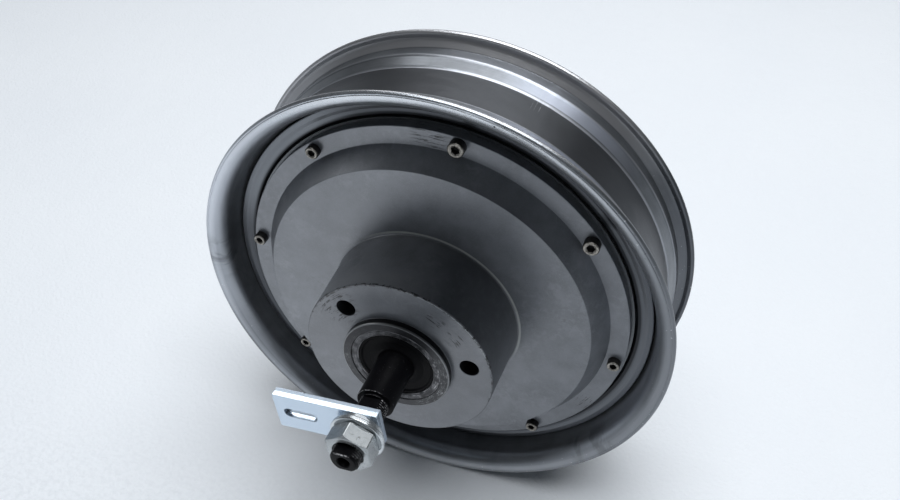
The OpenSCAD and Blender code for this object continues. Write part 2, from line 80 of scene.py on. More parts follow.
def rounded(points, radius=0.3, steps=4, support=0.12):
    """A closed outline with its corners rounded; a third number at a point is that corner's own radius."""
    out = []
    n = len(points)
    for i in range(n):
        p = Vector(points[i][:2])
        a, b = Vector(points[i - 1][:2]), Vector(points[(i + 1) % n][:2])
        rad = points[i][2] if len(points[i]) > 2 else radius
        da, db = a - p, b - p
        la, lb = da.length, db.length
        da, db = da / la, db / lb
        turn = math.pi - da.angle(db)
        if rad <= 0 or turn < math.radians(14):
            out.append(tuple(p))
            continue
        t = min(rad * math.tan(turn / 2), 0.42 * la, 0.42 * lb)
        rad = t / math.tan(turn / 2)
        centre = p + (da + db).normalized() * (rad / math.cos(turn / 2))
        start, end = p + da * t, p + db * t
        if la - t > 3 * support:
            out.append(tuple(start + da * support))
        v0, v1 = start - centre, end - centre
        sweep = v0.angle_signed(v1)
        for k in range(steps + 1):
            out.append(tuple(centre + Matrix.Rotation(-sweep * k / steps, 2) @ v0))
        if lb - t > 3 * support:
            out.append(tuple(end + db * support))
    return out


def arc(cx, cy, r, a0, a1, n):
    """n + 1 points of an arc from angle a0 to a1, in degrees, which rounded() leaves sharp."""
    return [(cx + r * math.cos(math.radians(a0 + (a1 - a0) * i / n)),
             cy + r * math.sin(math.radians(a0 + (a1 - a0) * i / n)), 0) for i in range(n + 1)]


def turned(section, seg=SEG, shape=None, start=0.0, sweep=360.0, closed=True):
    """Mesh of a section of (r, h) points turned about the axle; shape(r, h, a) may move each point."""
    bm = bmesh.new()
    full = abs(sweep - 360) < 1e-6
    count = seg if full else seg + 1
    rings = []
    for i in range(count):
        a = math.radians(start + sweep * i / seg)
        row = []
        for p in section:
            r, h = p[0], p[1]
            if shape:
                r, h = shape(r, h, a)
            row.append(bm.verts.new(place(r, h, a)))
        rings.append(row)
    m = len(section)
    for i in range(seg):
        one, two = rings[i], rings[(i + 1) % count]
        for k in range(m if closed else m - 1):
            bm.faces.new((one[k], one[(k + 1) % m], two[(k + 1) % m], two[k]))
    if not full:
        bm.faces.new(rings[0])
        bm.faces.new(list(reversed(rings[-1])))
    bmesh.ops.remove_doubles(bm, verts=bm.verts, dist=1e-7)
    bmesh.ops.recalc_face_normals(bm, faces=bm.faces)
    return bm


def to_mesh(bm, name, sharp=32):
    """A smooth shaded mesh whose edges of more than sharp degrees stay crisp."""
    mesh = bpy.data.meshes.new(name)
    bm.to_mesh(mesh)
    bm.free()
    mesh.shade_smooth()
    mesh.set_sharp_from_angle(angle=math.radians(sharp))
    return mesh


def evaluated(obj):
    """Applies an object's modifiers to its mesh."""
    dg = bpy.context.evaluated_depsgraph_get()
    mesh = bpy.data.meshes.new_from_object(obj.evaluated_get(dg), depsgraph=dg)
    obj.modifiers.clear()
    obj.data = mesh


def carve(mesh, cutters, sharp=32):
    """The mesh with closed cutter meshes taken away."""
    obj = bpy.data.objects.new("carved", mesh)
    bpy.context.scene.collection.objects.link(obj)
    tools = []
    for bm in cutters:
        cm = bpy.data.meshes.new("cutter")
        bm.to_mesh(cm)
        bm.free()
        tool = bpy.data.objects.new("cutter", cm)
        bpy.context.scene.collection.objects.link(tool)
        tools.append(tool)
        mod = obj.modifiers.new("cut", "BOOLEAN")
        mod.operation = "DIFFERENCE"
        mod.solver = "EXACT"
        mod.object = tool
    evaluated(obj)
    for tool in tools:
        bpy.data.objects.remove(tool)
    out = obj.data
    bpy.data.objects.remove(obj)
    out.shade_smooth()
    out.set_sharp_from_angle(angle=math.radians(sharp))
    return out


def join(bms):
    """One bmesh of several."""
    whole = bmesh.new()
    for bm in bms:
        part = bpy.data.meshes.new("part")
        bm.to_mesh(part)
        bm.free()
        whole.from_mesh(part)
    return whole


def shift(bm, r, a):
    """Moves a small turned mesh from the axle's line to radius r at angle a."""
    bmesh.ops.translate(bm, verts=bm.verts, vec=place(r, 0, a))
    return bm


def mirrored(bm):
    """The same mesh on the rear side of the wheel."""
    bmesh.ops.scale(bm, verts=bm.verts, vec=(1, -1, 1))
    bmesh.ops.reverse_faces(bm, faces=bm.faces)
    return bm


def rear_of(section):
    """The same section on the rear side of the wheel."""
    return [(r, -h) for r, h in reversed(section)]


def add(name, mesh, body, mats, node):
    """A piece of the object, which rides on a body and replaces a CAD node."""
    obj = bpy.data.objects.new(name, mesh)
    bpy.context.scene.collection.objects.link(obj)
    mesh.materials.clear()
    for m in mats if isinstance(mats, (list, tuple)) else [mats]:
        mesh.materials.append(m)
    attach(obj, body)
    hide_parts(node)
    return obj


# ---------------- materials

class Nodes:
    """A material with a Principled shader and short calls for the nodes that feed it."""

    def __init__(self, name, **fixed):
        self.mat = bpy.data.materials.new(name)
        self.mat.use_nodes = True
        self.tree = self.mat.node_tree
        self.base = None
        self.bsdf = self.tree.nodes["Principled BSDF"]
        for k, v in fixed.items():
            self.bsdf.inputs[k.replace("_", " ")].default_value = v
        self.obj = self.new("ShaderNodeTexCoord").outputs["Object"]
        sep = self.new("ShaderNodeSeparateXYZ")
        self.tree.links.new(self.obj, sep.inputs[0])
        self.x, self.y, self.z = (self.mul(s, 1 / MM) for s in sep.outputs)
        self.h = self.mul(self.y, -1.0)
        self.away = self.math("ABSOLUTE", self.h)
        self.r = self.hypot(self.x, self.z)
        self.deg = self.mul(self.math("ARCTAN2", self.z, self.x), math.degrees(1))

    def new(self, kind, **props):
        n = self.tree.nodes.new(kind)
        for k, v in props.items():
            setattr(n, k, v)
        return n

    def plug(self, socket, value):
        if isinstance(value, bpy.types.NodeSocket):
            self.tree.links.new(value, socket)
        elif value is not None:
            socket.default_value = value

    def fill(self, node, **values):
        for key, value in values.items():
            node.inputs[key].default_value = value

    def math(self, op, a, b=None):
        n = self.new("ShaderNodeMath", operation=op)
        for s, v in zip(n.inputs, (a, b)):
            self.plug(s, v)
        return n.outputs[0]

    def mul(self, *values):
        out = values[0]
        for v in values[1:]:
            out = self.math("MULTIPLY", out, v)
        return out

    def add(self, a, b):
        return self.math("ADD", a, b)

    def most(self, *values):
        out = values[0]
        for v in values[1:]:
            out = self.math("MAXIMUM", out, v)
        return out

    def hypot(self, a, b):
        return self.math("SQRT", self.add(self.mul(a, a), self.mul(b, b)))

    def step(self, value, low, high):
        """0 below low, 1 above high (or the other way round), smooth between."""
        n = self.new("ShaderNodeMapRange", interpolation_type="SMOOTHSTEP")
        flip = low > high
        self.plug(n.inputs[0], value)
        n.inputs[1].default_value, n.inputs[2].default_value = min(low, high), max(low, high)
        n.inputs[3].default_value, n.inputs[4].default_value = (1.0, 0.0) if flip else (0.0, 1.0)
        return n.outputs[0]

    def band(self, value, low, high, soft):
        """1 from low to high, fading over soft on either side of each end."""
        return self.mul(self.step(value, low - soft, low + soft),
                        self.step(value, high + soft, high - soft))

    def near(self, r, degrees, size, soft):
        """1 within size of the line at radius r and an angle, at any h."""
        a = math.radians(degrees)
        dx = self.add(self.x, -r * math.cos(a))
        dz = self.add(self.z, -r * math.sin(a))
        return self.step(self.hypot(dx, dz), size + soft, size - soft)

    def sector(self, low, high, soft):
        """1 from angle low to angle high, in degrees between -180 and 180."""
        return self.band(self.deg, low, high, soft)

    def noise(self, scale, detail=3.0, rough=0.55, distortion=0.0):
        """Noise whose features are about 1/scale mm."""
        n = self.new("ShaderNodeTexNoise")
        self.plug(n.inputs["Vector"], self.obj)
        self.fill(n, Scale=scale / MM, Detail=detail, Roughness=rough, Distortion=distortion)
        return n.outputs["Fac"]

    def rings(self, across, along, detail=3.0, rough=0.6):
        """Noise drawn out round the axle: marks 1/across mm wide, and shorter the higher along is."""
        n = self.new("ShaderNodeTexNoise", noise_dimensions="4D")
        comb = self.new("ShaderNodeCombineXYZ")
        over = self.math("DIVIDE", 1.0, self.most(self.r, 1.0))
        self.plug(comb.inputs[0], self.mul(self.x, over, along))
        self.plug(comb.inputs[1], self.mul(self.z, over, along))
        self.plug(comb.inputs[2], self.mul(self.h, across))
        self.plug(n.inputs["Vector"], comb.outputs[0])
        self.plug(n.inputs["W"], self.mul(self.r, across))
        self.fill(n, Scale=1.0, Detail=detail, Roughness=rough)
        return n.outputs["Fac"]

    def mix(self, fac, a, b):
        """Colour a where fac is 0 and b where it is 1."""
        n = self.new("ShaderNodeMix", data_type="RGBA")
        self.plug(n.inputs[0], fac)
        for s, v in ((n.inputs[6], a), (n.inputs[7], b)):
            self.plug(s, (*v, 1.0) if isinstance(v, tuple) and len(v) == 3 else v)
        return n.outputs[2]

    def lay(self, mask, strength, colour):
        """Lays a colour over the base colour where mask is 1, as strongly as strength says."""
        self.base = self.mix(self.mul(mask, strength), self.base, colour)

    def blend(self, fac, a, b):
        """Number a where fac is 0 and b where it is 1."""
        n = self.new("ShaderNodeMix", data_type="FLOAT")
        self.plug(n.inputs[0], fac)
        self.plug(n.inputs[2], a)
        self.plug(n.inputs[3], b)
        return n.outputs[0]

    def bump(self, height, depth_mm, normal=None):
        n = self.new("ShaderNodeBump")
        self.fill(n, Strength=1.0, Distance=depth_mm * MM)
        self.plug(n.inputs["Height"], height)
        self.plug(n.inputs["Normal"], normal)
        return n.outputs[0]

    def finish(self, roughness, normal, metallic=None):
        for key, value in (("Base Color", self.base), ("Roughness", roughness), ("Normal", normal),
                           ("Metallic", metallic)):
            self.plug(self.bsdf.inputs[key], value)
        return self.mat


def rim_steel():
    """Bare rolled steel with worn edges; painted highlights, painted reflections and painted shade stand in
    fixed sectors of the wheel.
    """
    n = Nodes("rim_steel", Metallic=0.85)
    r, h, away = n.r, n.h, n.away
    streak = n.rings(1.3, 5.0, 4.0)
    fine = n.rings(6.0, 22.0, 3.0)
    blotch = n.step(n.noise(0.035, 4.0, 0.6, distortion=0.6), 0.38, 0.68)
    n.base = n.mix(streak, (0.165, 0.175, 0.19), (0.26, 0.275, 0.295))
    n.lay(blotch, 0.45, (0.12, 0.128, 0.14))
    n.lay(n.step(fine, 0.45, 0.75), 0.3, (0.33, 0.345, 0.37))
    # the lips are lighter in the upper sector only: partly wear, partly a painted highlight
    upper = n.sector(52, 128, 22)
    lip = n.mul(n.step(r, 157.0, 160.0), n.step(away, 36.8, 38.6))
    worn = n.mul(lip, n.add(n.mul(n.step(n.noise(0.09, 5.0, 0.65), 0.36, 0.56), 0.5), 0.5), upper)
    n.lay(worn, 0.85, (0.52, 0.55, 0.59))
    # painted highlight: a near-white band on top of the lips, in the upper sector
    lip_top_highlight = n.mul(n.step(h, 38.6, 40.0), n.step(r, 156.5, 159.0), n.step(r, 163.4, 162.8), upper)
    n.lay(lip_top_highlight, 0.8, (0.85, 0.88, 0.92))
    # painted shade: the lips' outer edge and a groove inside the front lip are near black outside the upper
    # sector
    lower = n.math("SUBTRACT", 1.0, upper)
    edge = n.mul(n.step(r, 160.8, 162.6), n.step(away, 36.8, 37.6), lower)
    groove = n.mul(n.band(r, 157.4, 158.2, 0.5), n.step(h, 36.8, 37.6), lower, 0.45)
    n.lay(n.most(edge, groove), 0.85, (0.035, 0.038, 0.042))
    # painted shade: the lips are darker on the right
    right = n.sector(-34, 30, 16)
    n.lay(n.mul(right, lip), 0.8, (0.05, 0.054, 0.06))
    # the weld rings are a darker steel; the darker colour also stands in for the shade the lips cast on them
    ring = n.mul(n.step(r, 148.4, 147.4), n.step(away, 12.6, 13.2))
    n.base = n.mix(ring, n.base, n.mix(streak, (0.05, 0.054, 0.06), (0.10, 0.106, 0.118)))
    # painted shade: near black on the front weld ring's inner edge, next to the cover
    gap_shade = n.mul(n.step(r, 140.6, 139.4), n.step(h, 16.0, 17.0))
    n.lay(gap_shade, 0.85, (0.012, 0.013, 0.015))
    # painted light: the front weld ring is lighter on the lower right
    outer = n.mul(n.band(r, 140.8, 147.6, 0.6), n.step(h, 17.5, 18.5), n.sector(-70, 12, 16))
    n.lay(outer, 0.3, (0.17, 0.183, 0.205))
    hollow = n.mul(n.step(h, 26.0, 33.0), n.step(r, 150.5, 156.5))
    inside = n.mul(n.step(h, 20.0, 24.0), n.step(r, 147.8, 148.6), n.step(r, 155.5, 153.5))
    # painted reflection: bluish light low inside the front flange, on the right
    n.lay(n.mul(inside, right), 0.5, (0.56, 0.60, 0.68))
    # painted shade: the curl of the front flange is darker on the right
    curl = n.mul(n.step(h, 30.0, 33.0), n.step(r, 154.5, 156.5), n.sector(-62, 32, 16))
    n.lay(curl, 0.55, (0.08, 0.086, 0.096))
    # painted light: the inside of the front flange is lighter all round, and much lighter on the left
    n.lay(hollow, 0.35, (0.36, 0.38, 0.41))
    left = n.mul(hollow, n.most(n.sector(128, 180, 22), n.sector(-180, -168, 18)))
    n.lay(left, 0.9, (0.56, 0.59, 0.64))
    # painted shade: low inside the front flange it is darker at the bottom
    below = n.mul(n.step(h, 18.0, 26.0), n.sector(-130, -95, 12),
                  n.step(r, 147.0, 148.0), n.step(r, 159.5, 156.0))
    n.lay(below, 0.5, (0.055, 0.06, 0.067))
    well = n.mul(n.step(away, 15.5, 14.5), n.step(r, 149.5, 150.5))
    n.lay(well, 0.9, (0.072, 0.075, 0.082))
    # painted reflection: bluish light on the slopes beside the bead seats, at the upper right
    slope = n.mul(n.band(away, 17.2, 25.4, 0.4), n.step(r, 151.2, 151.8), n.sector(46, 72, 10))
    n.lay(slope, 0.8, (0.56, 0.60, 0.70))
    ticks = n.most(n.band(n.deg, 68.0, 68.1, 0.07), n.band(n.deg, 69.1, 69.2, 0.06),
                   n.band(n.deg, 70.0, 70.05, 0.05))
    ticks = n.mul(ticks, n.band(h, -24.0, -6.0, 3.0), n.step(n.noise(0.4, 3.0, 0.6), 0.40, 0.55))
    n.lay(ticks, 0.6, (0.50, 0.51, 0.53))
    from_r, from_h = n.add(r, -163.5), n.add(away, -29.6)
    tread_side = n.step(n.hypot(from_r, from_h), 10.2, 9.6)
    # painted highlight: light grey on the tyre's side of both flanges, along the top
    flange_top_highlight = n.mul(tread_side, n.step(away, 31.0, 34.0), n.step(r, 155.0, 156.0), n.sector(42, 150, 16))
    n.lay(flange_top_highlight, 0.85, (0.56, 0.56, 0.58))
    shade = n.mul(tread_side, n.step(away, 28.5, 30.0), n.sector(-30, 34, 12))
    n.lay(shade, 0.7, (0.08, 0.085, 0.095))
    # painted highlights: light lines along the corners of the well and of the bead seat, over the top
    well_line = n.mul(n.band(away, 15.0, 16.4, 0.5), n.step(r, 149.0, 149.8))
    seat_line = n.mul(n.band(away, 25.2, 26.4, 0.4), n.step(r, 151.2, 151.8))
    corner = n.mul(n.most(n.mul(well_line, 0.8), n.mul(seat_line, 0.55)), n.sector(16, 150, 20))
    n.lay(corner, 0.62, (0.74, 0.76, 0.82))
    specks = n.mul(n.step(n.noise(0.55, 2.0, 0.5), 0.70, 0.76), n.step(r, 150.0, 164.0))
    n.lay(specks, 0.7, (0.62, 0.64, 0.66))
    nicks = n.mul(n.step(n.noise(0.3, 3.0, 0.6), 0.66, 0.70), lip, n.sector(35, 85, 10))
    n.lay(nicks, 0.85, (0.03, 0.032, 0.035))
    smudge = n.most(n.near(158, 180, 16, 10), n.near(158, -38, 18, 9))
    uneven = n.step(n.noise(0.05, 3.0, 0.6, distortion=1.0), 0.45, 0.58)
    smudge = n.mul(smudge, uneven, n.step(h, 24.0, 28.0))
    n.lay(smudge, 0.38, (0.055, 0.057, 0.06))
    # painted light: the front weld ring is lighter at the upper left
    grey = n.mul(n.band(r, 139.0, 147.8, 0.8), n.step(h, 17.5, 18.5), n.sector(118, 166, 9))
    n.lay(grey, 0.6, (0.21, 0.225, 0.245))
    rough = n.blend(streak, 0.24, 0.37)
    rough = n.blend(n.mul(worn, 0.6), rough, 0.22)
    normal = n.bump(n.add(n.mul(streak, 0.6), n.mul(fine, 0.4)), 0.05)
    normal = n.bump(n.noise(0.06, 3.0, 0.5), 0.25, normal)
    normal = n.bump(n.mul(nicks, -1.0), 0.12, normal)
    return n.finish(rough, normal)


def cover_paint():
    """Grey paint, darker at the foot of the boss, with rubbed edges and scuffs, on the front cover only; the
    front cover's boss also has painted light and shade.
    """
    n = Nodes("cover_paint", Metallic=0.35)
    r, h = n.r, n.h
    grain = n.noise(1.6, 3.0, 0.65)
    mottle = n.noise(0.05, 4.0, 0.6)
    n.base = n.mix(n.step(mottle, 0.3, 0.7), (0.138, 0.148, 0.164), (0.186, 0.198, 0.218))
    haze = n.mul(n.step(n.noise(0.16, 5.0, 0.7, distortion=0.5), 0.46, 0.66),
                 n.step(n.noise(0.018, 3.0, 0.6), 0.42, 0.58))
    n.lay(haze, 0.35, (0.26, 0.273, 0.295))
    n.lay(n.step(grain, 0.42, 0.75), 0.30, (0.25, 0.262, 0.285))
    pits = n.step(n.noise(0.8, 2.0, 0.5, distortion=0.4), 0.73, 0.78)
    n.lay(pits, 0.5, (0.07, 0.072, 0.078))
    # a darker band and a painted highlight line at the foot of the boss, on the front cover only
    front = n.step(h, 36.0, 38.0)
    foot = n.mul(n.band(r, 64.2, 65.0, 1.2), n.step(h, 44.0, 41.5), front)
    n.lay(foot, 0.35, (0.10, 0.105, 0.11))
    # painted highlight: a light line on the fillet at the boss's foot, over the top and right
    line = n.mul(n.band(r, 65.3, 66.8, 0.35), n.step(h, 42.4, 41.4), front)
    n.lay(n.mul(line, n.sector(-10, 118, 16)), 0.85, (0.56, 0.58, 0.56))
    boss_side = n.mul(n.step(r, 66.0, 64.5), n.step(h, boss_top - 0.5, boss_top - 1.1))
    on_face = n.step(h, boss_top - 0.4, boss_top - 0.1)
    # painted light: the boss's side is lighter on its upper left
    rubbed = n.mul(boss_side, n.step(h, 62.0, 86.0), n.sector(75, 180, 25))
    n.lay(rubbed, 0.5, (0.36, 0.375, 0.40))
    # painted shade: the whole boss face is a little darker
    n.lay(on_face, 0.22, (0.06, 0.062, 0.068))
    # painted shade: the boss's side is darker on the right
    dim = n.mul(boss_side, n.sector(-70, 62, 20))
    n.lay(dim, 0.5, (0.05, 0.053, 0.06))
    # a light line along the edge of the boss face at the upper right, and painted shade on the rest of that
    # edge
    edge = n.mul(n.band(r, 61.9, 62.8, 0.2), n.step(h, 86.0, 86.8))
    n.lay(n.mul(edge, n.sector(20, 85, 12)), 0.6, (0.42, 0.44, 0.46))
    edge_rest = n.mul(edge, n.step(n.math("ABSOLUTE", n.add(n.deg, -52)), 35, 60))
    n.lay(edge_rest, 0.5, (0.10, 0.105, 0.115))
    chip = n.noise(0.33, 4.0, 0.7)
    edge_wide = n.mul(n.band(r, 61.5, 63.2, 0.3), n.step(h, 85.4, 86.2), n.sector(-15, 160, 6))
    chips = n.mul(edge_wide, n.step(chip, 0.525, 0.55))
    # scuffs on the boss face and on the bolting face, and smears on the raised middle
    arcs = n.rings(1.1, 7.0, 3.0)
    where = n.most(n.near(53, 137, 13, 5), n.near(51, 60, 6, 2.5), n.near(50, 41, 6, 2.5))
    scratch = n.mul(on_face, where, n.step(arcs, 0.53, 0.57), n.step(n.noise(0.25, 3.0), 0.40, 0.50))
    bolting = n.mul(n.step(h, 27.0, 26.0), n.step(h, 12.0, 15.0),
                    n.most(n.near(130.5, 90, 10, 6), n.near(129, -30, 6, 4)))
    scuff = n.mul(bolting, n.step(n.rings(0.9, 9.0, 4.0, 0.7), 0.54, 0.58))
    raised = n.mul(n.band(h, 40.0, 40.4, 0.1), n.most(n.near(98, 15, 8, 7), n.near(80, 178, 8, 7)))
    smear = n.mul(raised, n.step(n.noise(0.22, 4.0, 0.7), 0.50, 0.66))
    marks = n.most(chips, scratch, scuff)
    # the walls of the disc holes are dark
    for degrees in disc_angles:
        wall = n.mul(n.near(disc_pcr, degrees, disc_hole_r + 0.12, 0.1),
                     n.step(h, boss_top - 0.2, boss_top - 0.5), front)
        marks = n.most(marks, wall)
    n.lay(smear, 0.45, (0.10, 0.105, 0.11))
    n.lay(marks, 0.92, (0.012, 0.012, 0.013))
    rough = n.blend(mottle, 0.40, 0.52)
    normal = n.bump(grain, 0.03)
    normal = n.bump(n.rings(1.5, 6.0), 0.012, normal)
    normal = n.bump(n.mul(marks, -1.0), 0.06, normal)
    return n.finish(rough, normal, n.blend(marks, 0.35, 0.0))


def register_bare():
    """Bare turned steel of the disc register, scratched round its edge."""
    n = Nodes("register_bare", Metallic=0.8)
    turn = n.rings(2.2, 7.0, 4.0)
    grime = n.noise(0.18, 5.0, 0.7)
    n.base = n.mix(turn, (0.014, 0.0145, 0.016), (0.045, 0.047, 0.051))
    # painted shade: the register is darker over its top and left
    n.lay(n.sector(35, 172, 14), 0.65, (0.020, 0.020, 0.023))
    where = n.most(n.sector(-60, 25, 15), n.mul(n.step(n.deg, -110, -135), 0.4))
    scratches = n.mul(n.step(n.rings(4.0, 14.0, 4.0, 0.7), 0.50, 0.62), n.step(grime, 0.42, 0.60))
    bright = n.mul(scratches, n.add(n.mul(where, 0.85), 0.15), n.step(n.h, 90.5, 91.8))
    n.lay(bright, 0.75, (0.40, 0.41, 0.42))
    rim = n.mul(n.band(n.r, 35.2, 36.1, 0.2), n.step(n.h, 90.6, 91.4))
    n.lay(rim, 0.6, (0.36, 0.37, 0.38))
    rough = n.blend(turn, 0.32, 0.55)
    normal = n.bump(n.add(turn, n.mul(bright, 0.5)), 0.06)
    return n.finish(rough, normal)


def axle_black():
    """Black oxide, with painted highlights on the thread crests, the end of the upper flat and the front
    shoulder's upper side.
    """
    n = Nodes("axle_black", Metallic=0.0, Specular_IOR_Level=0.06)
    turn = n.rings(3.0, 5.0, 3.0)
    cloud = n.noise(0.25, 4.0, 0.65)
    n.base = n.mix(cloud, (0.0015, 0.0015, 0.002), (0.005, 0.005, 0.006))
    worn = n.step(n.noise(0.9, 3.0, 0.6), 0.68, 0.74)
    # painted highlights: light on the thread crests, at the end of the upper flat and on the front shoulder's
    # upper side
    crests = n.mul(n.band(n.r, 8.82, 9.2, 0.06), n.step(n.h, 124.5, 125.5), 0.9)
    above = n.add(n.mul(n.z, math.cos(FLAT)), n.mul(n.x, -math.sin(FLAT)))
    flat_end = n.mul(n.step(above, 6.0, 6.2), n.step(n.h, 168.1, 168.4), 2.0)
    shoulder = n.mul(n.band(n.r, 11.35, 11.75, 0.1), n.step(n.h, 123.5, 123.7), n.sector(70, 170, 15))
    rubbed = n.mul(n.most(crests, flat_end, shoulder), n.step(n.noise(0.8, 4.0, 0.7), 0.46, 0.60))
    n.base = n.mix(rubbed, n.base, (0.35, 0.35, 0.36))
    n.lay(worn, 0.35, (0.20, 0.20, 0.21))
    return n.finish(n.blend(cloud, 0.26, 0.42), n.bump(turn, 0.02))


def screw_black():
    """Black oxide of the cover screws."""
    n = Nodes("screw_black", Metallic=0.0, Specular_IOR_Level=0.3)
    cloud = n.noise(0.6, 3.0, 0.6)
    n.base = n.mix(cloud, (0.006, 0.006, 0.007), (0.016, 0.015, 0.014))
    return n.finish(n.blend(cloud, 0.34, 0.5), n.bump(cloud, 0.02))


def screw_bright():
    """Bare metal on the rubbed rims of the screw heads."""
    n = Nodes("screw_bright", Metallic=1.0)
    cloud = n.noise(0.9, 4.0, 0.7)
    n.base = n.mix(n.step(cloud, 0.35, 0.7), (0.15, 0.14, 0.125), (0.36, 0.345, 0.315))
    return n.finish(n.blend(cloud, 0.32, 0.5), n.bump(cloud, 0.02))


def zinc(name, colour_a, colour_b, scratch=0.0, fracture=None):
    """Zinc plating; fracture is the band of h where the plate's cut edge is torn."""
    n = Nodes(name, Metallic=0.9)
    cloud = n.noise(0.07, 4.0, 0.6)
    n.base = n.mix(cloud, colour_a, colour_b)
    lines = n.noise(0.35, 5.0, 0.75, distortion=1.5)
    dark = n.mul(n.step(lines, 0.58, 0.66), scratch)
    n.base = n.mix(dark, n.base, (0.10, 0.10, 0.10))
    rough = n.blend(n.noise(0.3, 3.0, 0.5), 0.20, 0.30)
    height = n.noise(0.12, 3.0, 0.5)
    if fracture:
        low, high = fracture
        torn = n.mul(n.band(n.h, low, high, 0.25), n.add(n.mul(n.noise(1.2, 4.0, 0.7), 0.6), 0.4))
        n.lay(torn, 0.5, (0.20, 0.22, 0.26))
        rough = n.blend(torn, rough, 0.6)
        height = n.add(height, n.mul(torn, 2.0))
    return n.finish(rough, n.bump(height, 0.02))


def rubber():
    """Black rubber of the seal lips, with a little dust."""
    n = Nodes("seal_rubber", Metallic=0.0, Specular_IOR_Level=0.05)
    grime = n.noise(0.35, 4.0, 0.6)
    n.base = n.mix(grime, (0.0025, 0.0025, 0.003), (0.007, 0.007, 0.008))
    specks = n.step(n.noise(0.9, 2.0, 0.5), 0.74, 0.78)
    n.lay(specks, 0.5, (0.12, 0.115, 0.11))
    return n.finish(n.blend(grime, 0.45, 0.7), n.bump(grime, 0.06))


def ground_steel():
    """Ground steel of the bearings."""
    n = Nodes("bearing_steel", Metallic=1.0)
    turn = n.rings(3.0, 8.0, 4.0)
    n.base = n.mix(turn, (0.42, 0.42, 0.43), (0.62, 0.62, 0.63))
    return n.finish(n.blend(turn, 0.18, 0.34), n.bump(turn, 0.02))


def seal_case():
    """Greasy pressed steel, rubbed bright in patches and along its edges."""
    n = Nodes("seal_case_dark", Metallic=0.7)
    grime = n.noise(0.22, 5.0, 0.7)
    n.base = n.mix(n.step(grime, 0.35, 0.65), (0.022, 0.022, 0.025), (0.085, 0.086, 0.092))
    rub = n.mul(n.step(n.rings(2.2, 6.0, 4.0, 0.7), 0.47, 0.62), n.step(grime, 0.44, 0.58),
                n.add(n.mul(n.step(n.math("ABSOLUTE", n.add(n.deg, 20)), 75, 30), 0.7), 0.3))
    edges = n.most(n.band(n.r, 29.5, 30.2, 0.12), n.band(n.r, 25.4, 25.9, 0.12))
    bright = n.most(n.mul(edges, n.step(n.rings(1.5, 5.0, 3.0), 0.40, 0.56), 0.8), rub)
    n.lay(bright, 0.8, (0.42, 0.42, 0.43))
    return n.finish(n.blend(grime, 0.30, 0.50), n.bump(n.add(n.rings(2.5, 8.0), grime), 0.03))


def plain(name, a, b, metallic, rough, scale=0.4, depth=0.03, layers=0.0):
    """A material of the inner pieces: a little cloudy, with fine grain, and ridges layers mm apart."""
    n = Nodes(name, Metallic=metallic)
    cloud = n.noise(scale, 4.0, 0.6)
    height = cloud
    if layers:
        height = n.add(n.mul(cloud, 0.3), n.math("PINGPONG", n.h, layers))
    n.base = n.mix(cloud, a, b)
    return n.finish(n.blend(cloud, rough - 0.06, rough + 0.08), n.bump(height, depth))


def floor_white():
    """A pale floor with a faint grain, darker in front and to the left as painted shade of its bumps."""
    n = Nodes("floor_white", Metallic=0.0, Specular_IOR_Level=0.2)
    ripple = n.add(n.noise(0.30, 2.0, 0.5), n.mul(n.noise(0.03, 2.0, 0.5), 1.5))
    n.base = n.mix(n.noise(0.004, 2.0, 0.5), (0.80, 0.83, 0.87), (0.85, 0.875, 0.905))
    # painted shade: a darker grain in front and to the left stands in for light grazing the floor's bumps
    grain = n.mul(n.step(n.noise(0.22, 2.0, 0.6), 0.42, 0.66), n.step(n.h, 20.0, 260.0),
                  n.step(n.x, 120.0, -120.0))
    n.lay(grain, 0.26, (0.56, 0.585, 0.62))
    return n.finish(0.6, n.bump(ripple, 0.6))


steel, paint, bare = rim_steel(), cover_paint(), register_bare()
oxide_screw, bright_screw = screw_black(), screw_bright()
seal_black, polished, case_dark = rubber(), ground_steel(), seal_case()
plate_zinc = zinc("plate_zinc", (0.47, 0.56, 0.66), (0.54, 0.62, 0.71), 0.0, fracture=(138.3, 140.6))
nut_zinc = zinc("nut_zinc", (0.27, 0.29, 0.30), (0.47, 0.49, 0.50), 0.85)
washer_zinc = zinc("washer_zinc", (0.50, 0.53, 0.55), (0.66, 0.69, 0.71), 0.35)
oxide_axle = axle_black()

# the finish of every CAD node, by its slot
finishes = {
    "drum_steel": plain("drum_steel", (0.14, 0.15, 0.16), (0.22, 0.23, 0.24), 0.9, 0.42),
    "magnet_nickel": plain("magnet_nickel", (0.42, 0.42, 0.42), (0.55, 0.55, 0.54), 1.0, 0.3),
    "bearing_steel": polished,
    "cage_brass": plain("cage_brass", (0.60, 0.42, 0.16), (0.70, 0.52, 0.22), 1.0, 0.3),
    "cast_aluminium": plain("cast_aluminium", (0.42, 0.43, 0.44), (0.55, 0.56, 0.57), 0.9, 0.5, 0.8, 0.06),
    "lamination_steel": plain("lamination_steel", (0.13, 0.13, 0.14), (0.24, 0.24, 0.25), 0.8, 0.45, 0.4,
                              0.08, 0.5),
    "copper_wire": plain("copper_wire", (0.50, 0.17, 0.06), (0.68, 0.27, 0.10), 0.8, 0.3, 0.3, 0.2, 0.6),
    "white_nylon": plain("white_nylon", (0.72, 0.70, 0.64), (0.80, 0.79, 0.73), 0.0, 0.45),
    "circuit_board": plain("circuit_board", (0.02, 0.14, 0.05), (0.03, 0.20, 0.08), 0.0, 0.3),
    "sensor_plastic": plain("sensor_plastic", (0.012, 0.012, 0.012), (0.03, 0.03, 0.03), 0.0, 0.45),
    "rim_steel": steel,
    "cover_paint": paint,
    "screw_black": oxide_screw,
    "seal_rubber": seal_black,
    "axle_black": oxide_axle,
    "bright_zinc": nut_zinc,
}
for part in frame["record"]["subparts"]:
    node = frame["nodes"][part["node"]]
    node.data.materials.clear()
    node.data.materials.append(finishes[part["material_slot"]])

# ---------------- rim and weld rings

